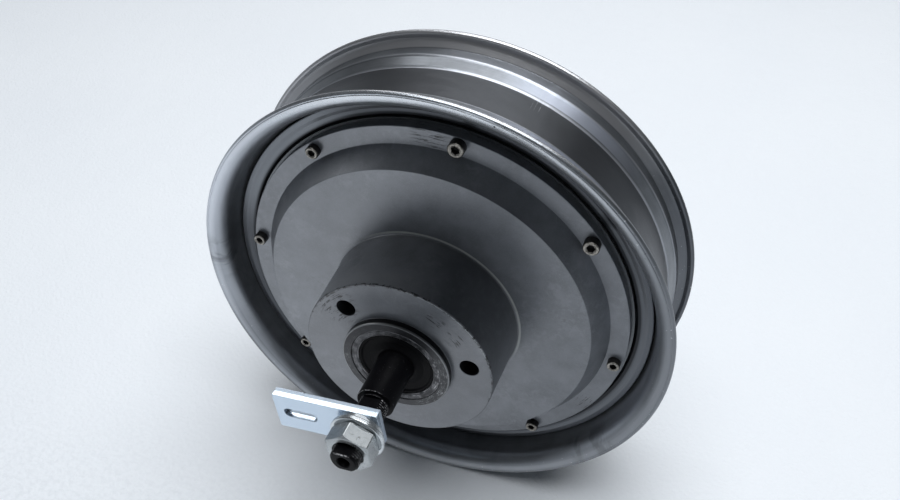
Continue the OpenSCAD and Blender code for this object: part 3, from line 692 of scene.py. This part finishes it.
rim_r, _, rim_h = span("rim")
well_r, seat_r, seat_h, sheet = rim_r - 14.0, rim_r - 10.2, 26.4, 3.0
lip_c = rim_r - 1.5
lip_start = 158.0
bend_h = rim_h - sheet - 8.4
outer = [(well_r, 12.5, 0), (well_r, 15.6, 0.5), (well_r + 0.85, 16.6, 0.7),
         (seat_r - 0.8, seat_h - 1.9, 0.5), (seat_r + 0.15, seat_h - 0.7, 0.6), (seat_r, seat_h + 1.4, 0.8),
         (seat_r + 0.3, 33.7, 0.2)] + arc(lip_c, bend_h, 8.4, 128, 112, 6)
lip = arc(rim_r - 2.1, rim_h - 2.1, 2.1, -115, 68, 18) + [(rim_r - 2.1, rim_h - 0.4, 0.15)]
inner_r = well_r - sheet
inside = arc(lip_c, bend_h, 11.4, 95, 180, 16) + [
    (seat_r - sheet - 0.4, seat_h - 1.2, 1.6), (inner_r + 0.4, 15.7, 1.2), (inner_r, 14.5, 1.2),
    (inner_r, 12.5, 0)]
half = outer + lip + inside
rim_section = rounded(half + [(p[0], -p[1], *p[2:]) for p in reversed(half)], 0.4, 5)


def rim_shape(r, h, a):
    """Small unevenness of rolled sheet, and the weld seam across the tread side."""
    wave = noise.noise(Vector((math.cos(a) * 2.2, math.sin(a) * 2.2, h * 0.02)))
    edge = max(0.0, (r - lip_start) / (rim_r - lip_start))
    dr = -0.22 * edge * (0.5 + 0.5 * wave)
    dh = 0.18 * edge * noise.noise(Vector((math.cos(a) * 3.1, math.sin(a) * 3.1, 5.0 if h > 0 else 9.0)))
    if abs(h) > rim_h - 0.3:
        dh = 0.0
    off = (a - SEAM + math.pi) % (2 * math.pi) - math.pi
    width = off * r
    if abs(width) < 5 and rim_tread(r, h):
        rough = 0.6 + 0.4 * noise.noise(Vector((h * 0.7, width * 0.5, 1.0)))
        dr += 0.22 * rough * math.exp(-(width / 1.6) ** 2)
    return r + dr, h + dh


def rim_tread(r, h):
    """Whether a point of the section lies on the tyre's side of the rim."""
    return r >= well_r - 0.01 and not (abs(h) > bend_h + 8.3) and r < 162.5 and (
        abs(h) < bend_h or (lip_c - r) ** 2 + (abs(h) - bend_h) ** 2 < 8.6 ** 2)


add("rim", to_mesh(turned(rim_section, 360, rim_shape), "rim"), "wheel", steel, "rim")

ring_r, ring_back, ring_face = span("mounting_ring_front")
drum_r = span("drum")[0]
ring = rounded([(drum_r, ring_back, 0), (ring_r, ring_back, 0), (ring_r, ring_face - 0.2, 0.2),
                (ring_r - 0.5, ring_face, 0.35), (ring_r - 3.4, ring_face, 1.5),
                (drum_r + 6.2, ring_face - 0.75, 3.0), (drum_r + 1.9, ring_face - 0.9, 0.8),
                (drum_r + 0.6, ring_face - 2.1, 0.3), (drum_r, ring_face - 2.4, 0)], 0.2, 4)
for side, section in (("front", ring), ("rear", rear_of(ring))):
    add("weld_ring_" + side, to_mesh(turned(section, SEG), "weld_ring"), "wheel", steel,
        "mounting_ring_" + side)

# ---------------- covers

cover_r, _, register_top = span("front_cover")
# heights of the bolting face, the flange's underside, the spigot in the drum and the raised middle, then of
# the cover's inner face and the front bearing pocket's inner end
flange_top, flange_low, spigot_low, raised_top = 25.7, 18.5, 16.5, 40.2
inner_face, pocket_end = 34.2, 58.0
spigot_r, race_stop_r = 117.9, 27.0
seal_r = span("front_seal_case")[0]
bearing_r, _, bearing_high = span("front_bearing_outer_race")
flange = [(cover_r, flange_top, 0.5), (cover_r, flange_low, 0.2), (spigot_r, flange_low, 0.1),
          (spigot_r, spigot_low, 0.2), (spigot_r - 4, spigot_low, 0.2), (spigot_r - 4, 20.5, 1.0),
          (108.0, inner_face, 1.5)]
bevel = [(112.7, raised_top, 0.5), (122.0, flange_top, 0.35)]


def seal_seat(race_end, top):
    """The bore's outline from the end of the bearing's outer race to the top of the seal."""
    return [(race_stop_r, race_end, 0.2), (race_stop_r, race_end + 3, 0.2), (seal_r, race_end + 3, 0.1),
            (seal_r, top, 0.5)]


boss = [(56.0, inner_face, 1.5), (56.0, pocket_end, 1.5), (bearing_r, pocket_end, 0.4),
        (bearing_r, bearing_high, 0.2)] + seal_seat(bearing_high, register_top) + [
    (register_r, register_top, 0.9), (register_r, boss_top, 0.35), (62.6, boss_top, 0.45),
    (64.3, raised_top + 2.2, 0.0), (64.35, raised_top, 1.7)]
front_section = rounded(flange + boss + bevel, 0.3, 4)


def drill(radius, low, high, pcr, degrees, flare=0.0, seg=64):
    """The shape that cuts a hole from low to high, with a chamfer of flare at its top."""
    outline = [(0, low), (radius, low), (radius, high - flare)]
    if flare:
        outline += [(radius + flare, high), (radius + flare, high + 2)]
    else:
        outline += [(radius, high + 2)]
    outline.append((0, outline[-1][1]))
    return shift(turned(outline, seg), pcr, math.radians(degrees))


screw_pcr = 128.8
screw_angles = [-8.0 + 45.0 * i for i in range(8)]
m6_places = (1, 2)
m5_hole_r, m6_hole_r = 2.75, 3.25
cutters = [drill(disc_hole_r, boss_top - 20, boss_top, disc_pcr, degrees, 0.25) for degrees in disc_angles]
for i, degrees in enumerate(screw_angles):
    hole_r = m6_hole_r if i in m6_places else m5_hole_r
    cutters.append(drill(hole_r, 12, flange_top, screw_pcr, degrees, 0, 24))
front_mesh = carve(to_mesh(turned(front_section, SEG), "front_cover"), cutters)
front_cover = add("front_cover", front_mesh, "wheel", [paint, bare], "front_cover")
for face in front_mesh.polygons:
    c = face.center / MM
    on_register = math.hypot(c.x, c.z) < register_r + 0.6 and -c.y > boss_top + 0.25
    face.material_index = 1 if on_register else 0

rear_top = -span("rear_cover")[1]
rear_bearing_r, rear_bearing_low, rear_bearing_high = span("rear_bearing_outer_race")
rear_in, rear_out = -rear_bearing_high, -rear_bearing_low
rear_boss = [(40.0, inner_face, 1.0), (40.0, rear_in, 0.0), (rear_bearing_r, rear_in, 0.3),
             (rear_bearing_r, rear_out, 0.2)] + seal_seat(rear_out, rear_top) + [
    (46.0, rear_top, 1.0), (47.9, raised_top + 2.2, 0.0), (48.0, raised_top, 1.7)]
rear_section = rear_of(rounded(flange + rear_boss + bevel, 0.3, 4))
cutters = [mirrored(drill(m5_hole_r, 12, flange_top, screw_pcr, degrees, 0, 24)) for degrees in screw_angles]
rear_mesh = carve(to_mesh(turned(rear_section, SEG), "rear_cover"), cutters)
add("rear_cover", rear_mesh, "wheel", paint, "rear_cover")

# ---------------- screws

KEY = 0.56  # radius of the hexagon socket to the head's


def socket_screw(shank, head_r, head_l, degrees, flip):
    """A socket head screw with rounded edges and a hexagon socket, turned at random."""
    top = flange_top + head_l
    key_r = head_r * KEY
    depth = head_l * 0.55
    turn = math.radians(RNG.uniform(0, 60))

    def shape(r, h, a):
        """Bends the socket's wall, whose points have a negative r, to a hexagon."""
        if r >= 0:
            return r, h
        corner = math.pi / 6
        hexa = key_r * math.cos(corner) / math.cos((a + turn) % (2 * corner) - corner)
        return min(-r, hexa), h

    outline = rounded([(0.0, 6.5, 0), (shank - 0.4, 6.5, 0.1), (shank, 7.2, 0.1),
                       (shank, flange_top - 0.02, 0.0), (head_r, flange_top, 0.15),
                       (head_r, top - 0.75, 0.35), (head_r - 0.65, top, 0.25), (key_r + 0.45, top, 0.1)],
                      0.1, 3)
    last = outline.index(min(outline, key=lambda p: abs(p[0] - key_r - 0.45) + abs(p[1] - top)))
    outline = outline[:last + 1] + [
        (-(key_r + 0.02), top - 0.32), (-key_r, top - 0.4), (-key_r, top - depth + 0.1),
        (-(key_r - 0.15), top - depth), (0.0, top - depth - 0.5)]
    bm = turned(outline, 96, shape, closed=False)
    if flip:
        mirrored(bm)
    return shift(bm, screw_pcr, math.radians(degrees))


def bright_edges(mesh, head_r, head_l, flip):
    """Gives the rubbed rim of each head the bare metal."""
    sign = 1 if flip else -1
    top = flange_top + head_l
    centres = [(screw_pcr * math.cos(a), screw_pcr * math.sin(a)) for a in map(math.radians, screw_angles)]
    for face in mesh.polygons:
        c = face.center / MM
        off = min(math.hypot(c.x - x, c.z - z) for x, z in centres)
        face.material_index = 1 if sign * c.y > top - 0.42 and off > head_r * KEY - 0.1 else 0


M5, M6 = (2.5, 4.4, 5.0), (3.0, 5.2, 6.0)  # radii of the shank and the head, and the head's height
for name, node, places, (shank, head_r, head_l), flip in (
        ("screws_m5_front", "cover_screws_m5_front", (0, 3, 4, 5, 6, 7), M5, False),
        ("screws_m6_front", "cover_screws_m6_front", m6_places, M6, False),
        ("screws_rear", "cover_screws_rear", range(8), M5, True)):
    screws = [socket_screw(shank, head_r, head_l, screw_angles[i], flip) for i in places]
    mesh = to_mesh(join(screws), name)
    add(name, mesh, "wheel", [oxide_screw, bright_screw], node)
    bright_edges(mesh, head_r, head_l, flip)

# ---------------- seals

case_in = 25.5
# the lips' inner radii are a hair more than the axle's
for side, lip_in in (("front", 11.86), ("rear", 15.06)):
    out_r, low, high = span(side + "_seal_case")
    if side == "rear":
        low, high = -high, -low
    case = rounded([(case_in, low, 0.2), (out_r, low, 0.2), (out_r, high - 0.3, 0.3),
                    (out_r - 0.7, high, 0.2), (case_in + 0.9, high, 0.3), (case_in, high - 0.6, 0.2)], 0.2, 3)
    lip_out, lip_low, lip_top = case_in - 0.02, low + 0.2, high - 0.8
    lip_section = rounded([
        (lip_in, lip_low, 0.2), (lip_out, lip_low, 0.2), (lip_out, lip_top - 0.5, 0.4),
        (case_in - 1.6, lip_top - 0.3, 0.4), (case_in - 2.6, lip_top - 1.3, 0.5),
        (lip_in + 6.2, lip_top - 1.8, 0.6), (lip_in + 4.6, lip_top - 1.2, 0.5),
        (lip_in + 2.4, lip_top - 0.1, 0.5), (lip_in + 0.5, lip_top - 0.1, 0.3),
        (lip_in, lip_top - 0.9, 0.2)], 0.3, 4)
    for name, section, slot, mat in (("seal_case", case, "bearing_steel", case_dark),
                                     ("seal_lip", lip_section, "seal_rubber", seal_black)):
        if side == "rear":
            section = rear_of(section)
        node = side + "_" + name
        add(node + "_shown", to_mesh(turned(section, 192), name), "wheel", mat, node)

# ---------------- axle

_, axle_low, axle_high = span("axle")
front_shoulder, rear_shoulder = 124.0, -78.0
# radii of the front and rear threads, the journal, the front bearing's seat, the middle and the collar
front_r, rear_r, journal_r, seat_shaft_r, middle_r, collar_r = 9.0, 10.0, 11.8, 12.5, 15.0, 19.0
# heights where the journal meets the bearing's seat, where that meets the middle, and of the collar
journal_low, seat_low, collar_high, collar_low = 77.0, 60.0, -20.0, -30.0
front_flat, rear_flat = 6.5, 7.5  # from the axle's line to its flats
PITCH = 1.5


def thread(h, a):
    """Depth of a rolled thread below its crest, as a share of its full depth."""
    phase = (h / PITCH - a / (2 * math.pi)) % 1.0
    wave = abs(2 * phase - 1)
    return min(1.0, max(0.0, (wave - 0.10) / 0.75))


def axle_shape(r, h, a):
    """Cuts the threads and the two flats into the ends of the axle."""
    for start, end, top_r, flat in ((front_shoulder, axle_high, front_r, front_flat),
                                    (rear_shoulder, axle_low, rear_r, rear_flat)):
        inside = (h - start) * (1 if end > start else -1)
        if inside <= 0.05:
            continue
        fade = min(1.0, max(0.0, (inside - 0.8) / 2.0))
        groove = 0.85 * thread(h, a) * fade
        if r > top_r - 0.02:
            r -= groove
        elif r > top_r - 1.45:
            r = min(r, top_r - groove)
        if inside > 1.0:
            side = abs(math.sin(a - FLAT))
            if side > 1e-3 and r * side > flat:
                r = flat / side
    return r, h


def threaded(top_r, start, end, step=0.12):
    """Rings along a threaded length."""
    count = max(2, int(abs(end - start) / step))
    return [(top_r, start + (end - start) * i / count) for i in range(count + 1)]


# the ends stay a hair inside the CAD's
tip, tail = axle_high - 0.01, axle_low + 0.01
tip_chamfer = [(front_r - 1.4 + 1.4 * i / 8, tip - 0.03 - 1.37 * i / 8) for i in range(1, 9)]
tail_chamfer = [(rear_r - 1.4 * i / 8, tail + 1.4 - 1.37 * i / 8) for i in range(1, 9)]
shoulder_edge = [point[:2] for point in arc(journal_r - 0.5, front_shoulder - 0.5, 0.5, 75, 0, 5)]
profile = [(0.0, tip - 18.0), (3.5, tip - 18.0), (3.7, tip - 17.8), (3.7, tip - 0.9), (3.85, tip - 0.55),
           (4.5, tip), (4.6, tip), (front_r - 1.5, tip), (front_r - 1.4, tip - 0.03)]
profile += tip_chamfer + threaded(front_r, tip - 1.5, front_shoulder + 1.02)
profile += [(front_r, front_shoulder + 0.98), (front_r, front_shoulder + 0.3),
            (front_r + 0.25, front_shoulder + 0.02), (journal_r - 0.6, front_shoulder),
            (journal_r - 0.45, front_shoulder)]
profile += shoulder_edge
profile += [(journal_r, front_shoulder - 0.65), (journal_r, journal_low + 0.2),
            (journal_r + 0.1, journal_low), (seat_shaft_r - 0.15, journal_low),
            (seat_shaft_r, journal_low - 0.2), (seat_shaft_r, seat_low + 0.15),
            (seat_shaft_r + 0.15, seat_low), (middle_r - 0.3, seat_low),
            (middle_r, seat_low - 0.3), (middle_r, collar_high + 0.2), (middle_r + 0.2, collar_high),
            (collar_r - 0.4, collar_high), (collar_r, collar_high - 0.4), (collar_r, collar_low + 0.4),
            (collar_r - 0.4, collar_low), (middle_r + 0.2, collar_low), (middle_r, collar_low - 0.2),
            (middle_r, rear_shoulder + 0.5), (middle_r - 0.15, rear_shoulder + 0.15),
            (middle_r - 0.5, rear_shoulder), (rear_r + 0.2, rear_shoulder), (rear_r, rear_shoulder - 0.2),
            (rear_r, rear_shoulder - 0.98)]
profile += threaded(rear_r, rear_shoulder - 1.02, tail + 1.5) + tail_chamfer
profile += [(rear_r - 1.5, tail), (5.0, tail), (4.5, tail + 0.5), (4.5, -22.0), (0.0, -22.0)]
axle_bm = turned(profile, 240, axle_shape, closed=False)
slot_lo, slot_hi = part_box("axle_key")
key_cut = bmesh.new()
bmesh.ops.create_cube(key_cut, size=1.0)
bmesh.ops.scale(key_cut, verts=key_cut.verts, vec=(slot_hi - slot_lo))
bmesh.ops.translate(key_cut, verts=key_cut.verts, vec=(slot_hi + slot_lo) / 2)
cable_exit = bmesh.new()
exit_r, exit_h, exit_x = 3.5, -25, -10.5
bmesh.ops.create_cone(cable_exit, cap_ends=True, segments=32, radius1=exit_r * MM, radius2=exit_r * MM,
                      depth=20 * MM)
bmesh.ops.rotate(cable_exit, verts=cable_exit.verts, cent=(0, 0, 0),
                 matrix=Matrix.Rotation(math.pi / 2, 3, "Y"))
bmesh.ops.translate(cable_exit, verts=cable_exit.verts, vec=Vector((exit_x, -exit_h, 0)) * MM)
axle_mesh = carve(to_mesh(axle_bm, "axle", 40), [key_cut, cable_exit], 40)
add("axle", axle_mesh, "axle_and_stator", oxide_axle, "axle")

# ---------------- torque plate, washers, nuts


def plate_bm(outline, holes, low, high):
    """A flat plate with holes; its outlines are lists of (x, z)."""
    bm = bmesh.new()
    loops = []
    for loop in [outline] + holes:
        verts = [bm.verts.new(Vector((x, -high, z)) * MM) for x, z in loop]
        loops.append([bm.edges.new((verts[i], verts[(i + 1) % len(verts)])) for i in range(len(verts))])
    bmesh.ops.triangle_fill(bm, use_beauty=True, use_dissolve=False, edges=[e for l in loops for e in l])
    bmesh.ops.dissolve_limit(bm, angle_limit=0.01, verts=bm.verts, edges=[
        e for e in bm.edges if len(e.link_faces) == 2])
    moved = bmesh.ops.extrude_face_region(bm, geom=list(bm.faces))
    bmesh.ops.translate(bm, verts=[v for v in moved["geom"] if isinstance(v, bmesh.types.BMVert)],
                        vec=Vector((0, high - low, 0)) * MM)
    bmesh.ops.recalc_face_normals(bm, faces=bm.faces)
    return bm


def turned_flat(points):
    """Points of an outline, turned with the axle's flats."""
    c, s = math.cos(FLAT), math.sin(FLAT)
    return [(c * p[0] - s * p[1], s * p[0] + c * p[1]) for p in points]


plate_lo, plate_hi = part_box("torque_plate")
plate_low, plate_high = -plate_hi.y / MM, -plate_lo.y / MM
length, width, offset = 69.0, 28.0, 22.3
left, right, top = -offset - length / 2, -offset + length / 2, width / 2
corner, cut_corner = 0.3, 1.6
outline = [(left + corner, -top), (right - cut_corner, -top), (right, -top + cut_corner),
           (right, top - corner), (right - corner, top), (left + corner, top), (left, top - corner),
           (left, -top + corner)]
slot_w, slot_l, slot_mid = 7.0, 22.4, -40.2
slot_outline = []
for way, first in ((1, -math.pi / 2), (-1, math.pi / 2)):
    for k in range(33):
        t = first + math.pi * k / 32
        slot_outline.append((slot_mid + way * (slot_l - slot_w) / 2 + slot_w / 2 * math.cos(t),
                             slot_w / 2 * math.sin(t)))
play = 0.3
axle_hole = []
for k in range(96):
    t = 2 * math.pi * k / 96
    reach = front_r + play
    if abs(math.sin(t)) * reach > front_flat + play:
        reach = (front_flat + play) / abs(math.sin(t))
    axle_hole.append((reach * math.cos(t), reach * math.sin(t)))
plate_shape = plate_bm(turned_flat(outline), [turned_flat(slot_outline), turned_flat(axle_hole)],
                       plate_low, plate_high)
plate_obj = add("torque_plate", to_mesh(plate_shape, "plate"), "axle_and_stator", plate_zinc,
                "torque_plate")
bright_pieces = [plate_obj]
mod = plate_obj.modifiers.new("edges", "BEVEL")
mod.width = 0.2 * MM
mod.segments = 3
mod.limit_method = "ANGLE"
mod.angle_limit = math.radians(40)
mod.harden_normals = True


def washer_section(bore, r, low, high, inner=0.3, low_edge=0.3, high_edge=0.3, steps=4):
    """A washer's section; the last radii are those of its rounded edges."""
    return rounded([(bore, low, inner), (r, low, low_edge), (r, high, high_edge), (bore, high, inner)],
                   0.3, steps)


front_bore, rear_bore = front_r + 0.5, rear_r + 0.5
ring_start, ring_sweep = 205.3, 349.4  # degrees, with the spring washer's gap between its ends
spring = turned(washer_section(front_bore, *span("spring_washer")), 144, None, ring_start, ring_sweep)
add("spring_washer", to_mesh(spring, "spring_washer"), "axle_and_stator", washer_zinc,
    "spring_washer")

for side, bore, high_edge in (("front", front_bore, 0.9), ("rear", rear_bore, 0.5)):
    section = washer_section(bore, *span(side + "_washer"), 0.25, 0.5, high_edge, 5)
    add(side + "_washer", to_mesh(turned(section, 192), "washer"), "axle_and_stator",
        washer_zinc, side + "_washer")


def nut_mesh(low, high, across, bore, degrees):
    """A hexagon nut with its corners chamfered at both ends."""
    flat_r, corner_r = across / 2, across / math.sqrt(3)
    chamfer = (corner_r - flat_r) * 0.62
    bend, outside = chamfer * 1.25, corner_r + 1.0
    turn = math.radians(degrees)

    def shape(r, h, a):
        """Brings the outermost points in to the hexagon and to the chamfers' cones."""
        if r < flat_r - 0.6:
            return r, h
        hexa = flat_r / math.cos((a - turn) % (math.pi / 3) - math.pi / 6)
        cone = flat_r - 0.35 + (corner_r - flat_r + 0.5) * (min(high - h, h - low) / chamfer)
        return min(cone, hexa, corner_r - 0.12), h

    rows = [(bore + 1.0, high), (flat_r - 0.7, high), (flat_r - 0.5, high)]
    rows += [(outside, high - bend * i / 18) for i in range(1, 19)]
    rows += [(outside, high - bend - (high - low - 2 * bend) * i / 46) for i in range(1, 47)]
    rows += [(outside, low + bend * i / 18) for i in range(17, 0, -1)]
    rows += [(flat_r - 0.5, low), (flat_r - 0.7, low), (bore + 1.0, low), (bore + 0.05, low + 0.9),
             (bore + 0.02, low + 1.1), (bore + 0.02, high - 1.1), (bore + 0.05, high - 0.9)]
    return turned(rows, 360, shape)


for side, across, bore, degrees in (("front", 27.0, front_r, 38.0), ("rear", 30.0, rear_r, 20.0)):
    _, low, high = span(side + "_nut")
    nut = to_mesh(nut_mesh(low, high, across, bore, degrees), "nut", 28)
    bright_pieces.append(add(side + "_nut", nut, "axle_and_stator", nut_zinc, side + "_nut"))

# ---------------- floor, light, camera

floor_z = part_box("rim")[0].z
bpy.ops.mesh.primitive_plane_add(size=8.0, location=(0, 0, floor_z))
floor = bpy.context.object
floor.name = "floor"
floor.visible_shadow = False  # the key light stands lower than the floor
floor.data.materials.append(floor_white())

scene = bpy.context.scene
scene.view_settings.view_transform = "Standard"
scene.view_settings.look = "None"
world = bpy.data.worlds.new("studio")
scene.world = world
world.use_nodes = True
sky = world.node_tree
sky.nodes["Background"].inputs[0].default_value = (0.86, 0.93, 1.0, 1.0)
direction = sky.nodes.new("ShaderNodeTexCoord")
height = sky.nodes.new("ShaderNodeSeparateXYZ")
fade = sky.nodes.new("ShaderNodeMapRange")
fade.interpolation_type = "SMOOTHSTEP"
# the strength falls from 0.38 at the horizon and below it to 0.045 higher up
for socket, value in zip(list(fade.inputs)[1:5], (0.0, 0.30, 0.38, 0.045)):
    socket.default_value = value
sky.links.new(direction.outputs["Generated"], height.inputs[0])
sky.links.new(height.outputs[2], fade.inputs[0])
sky.links.new(fade.outputs[0], sky.nodes["Background"].inputs[1])


def receivers(name, pieces):
    """A collection of pieces that lights are linked to."""
    group = bpy.data.collections.new(name)
    for piece in pieces:
        group.objects.link(piece)
    return group


# Three lights leave out the front cover, one lights only that cover, and one only the plate and the nuts.
shaded = receivers("shaded_from_above", [front_cover])
for item in shaded.collection_objects:
    item.light_linking.link_state = "EXCLUDE"
cover_only = receivers("lit_from_the_left", [front_cover])
zinc_only = receivers("lit_from_behind", bright_pieces)


def area(name, where, target, size, power, colour=(1, 1, 1), linked=None):
    """A soft box; size is one number for a disc or two for a rectangle, in metres."""
    data = bpy.data.lights.new(name, "AREA")
    if isinstance(size, tuple):
        data.shape = "RECTANGLE"
        data.size, data.size_y = size
    else:
        data.shape = "DISK"
        data.size = size
    data.energy = power
    data.color = colour
    obj = bpy.data.objects.new(name, data)
    scene.collection.objects.link(obj)
    obj.location = where
    obj.rotation_euler = (Vector(target) - Vector(where)).to_track_quat("-Z", "Y").to_euler()
    if linked:
        obj.light_linking.receiver_collection = linked


cool = (0.97, 0.985, 1.0)
area("key", (-0.75, -1.55, -1.25), (0, 0, 0), 0.9, 8, cool)
area("overhead", (0.2, -0.1, 2.4), (0, -0.1, 0), 2.4, 66, (0.95, 0.975, 1.0), shaded)
area("behind", (-0.1, 1.38, 1.66), (0, 0, 0), (2.6, 0.8), 17, (0.96, 0.98, 1.0), shaded)
area("side", (1.5, -1.0, -0.9), (0, 0, 0), 0.8, 1.5, cool, shaded)
area("glint", (-0.95, 1.05, 1.40), (-0.02, -0.14, 0), 1.0, 9, (1.0, 1.0, 1.0), zinc_only)
area("left", (-1.76, -0.24, 0.92), (0, -0.05, 0), (0.6, 0.25), 7.5, cool, cover_only)

cam_data = bpy.data.cameras.new("camera")
cam_data.lens = 35.0
cam_data.sensor_width = 36.0
cam_data.clip_start = 0.01
camera = bpy.data.objects.new("camera", cam_data)
scene.collection.objects.link(camera)
# the camera looks down from the front, turned about +Z from looking along +Y, and isn't rolled
view_turn, view_down = math.radians(19.719), math.radians(40.814)
view_range = 3.7239 * rim_r
aim = Vector((-0.42, 11.06, 12.22))
tilt = Euler((math.pi / 2 - view_down, 0, view_turn))
forward = tilt.to_matrix() @ Vector((0, 0, -1))
camera.matrix_world = Matrix.LocRotScale((aim - forward * view_range) * MM, tilt, None)
scene.camera = camera
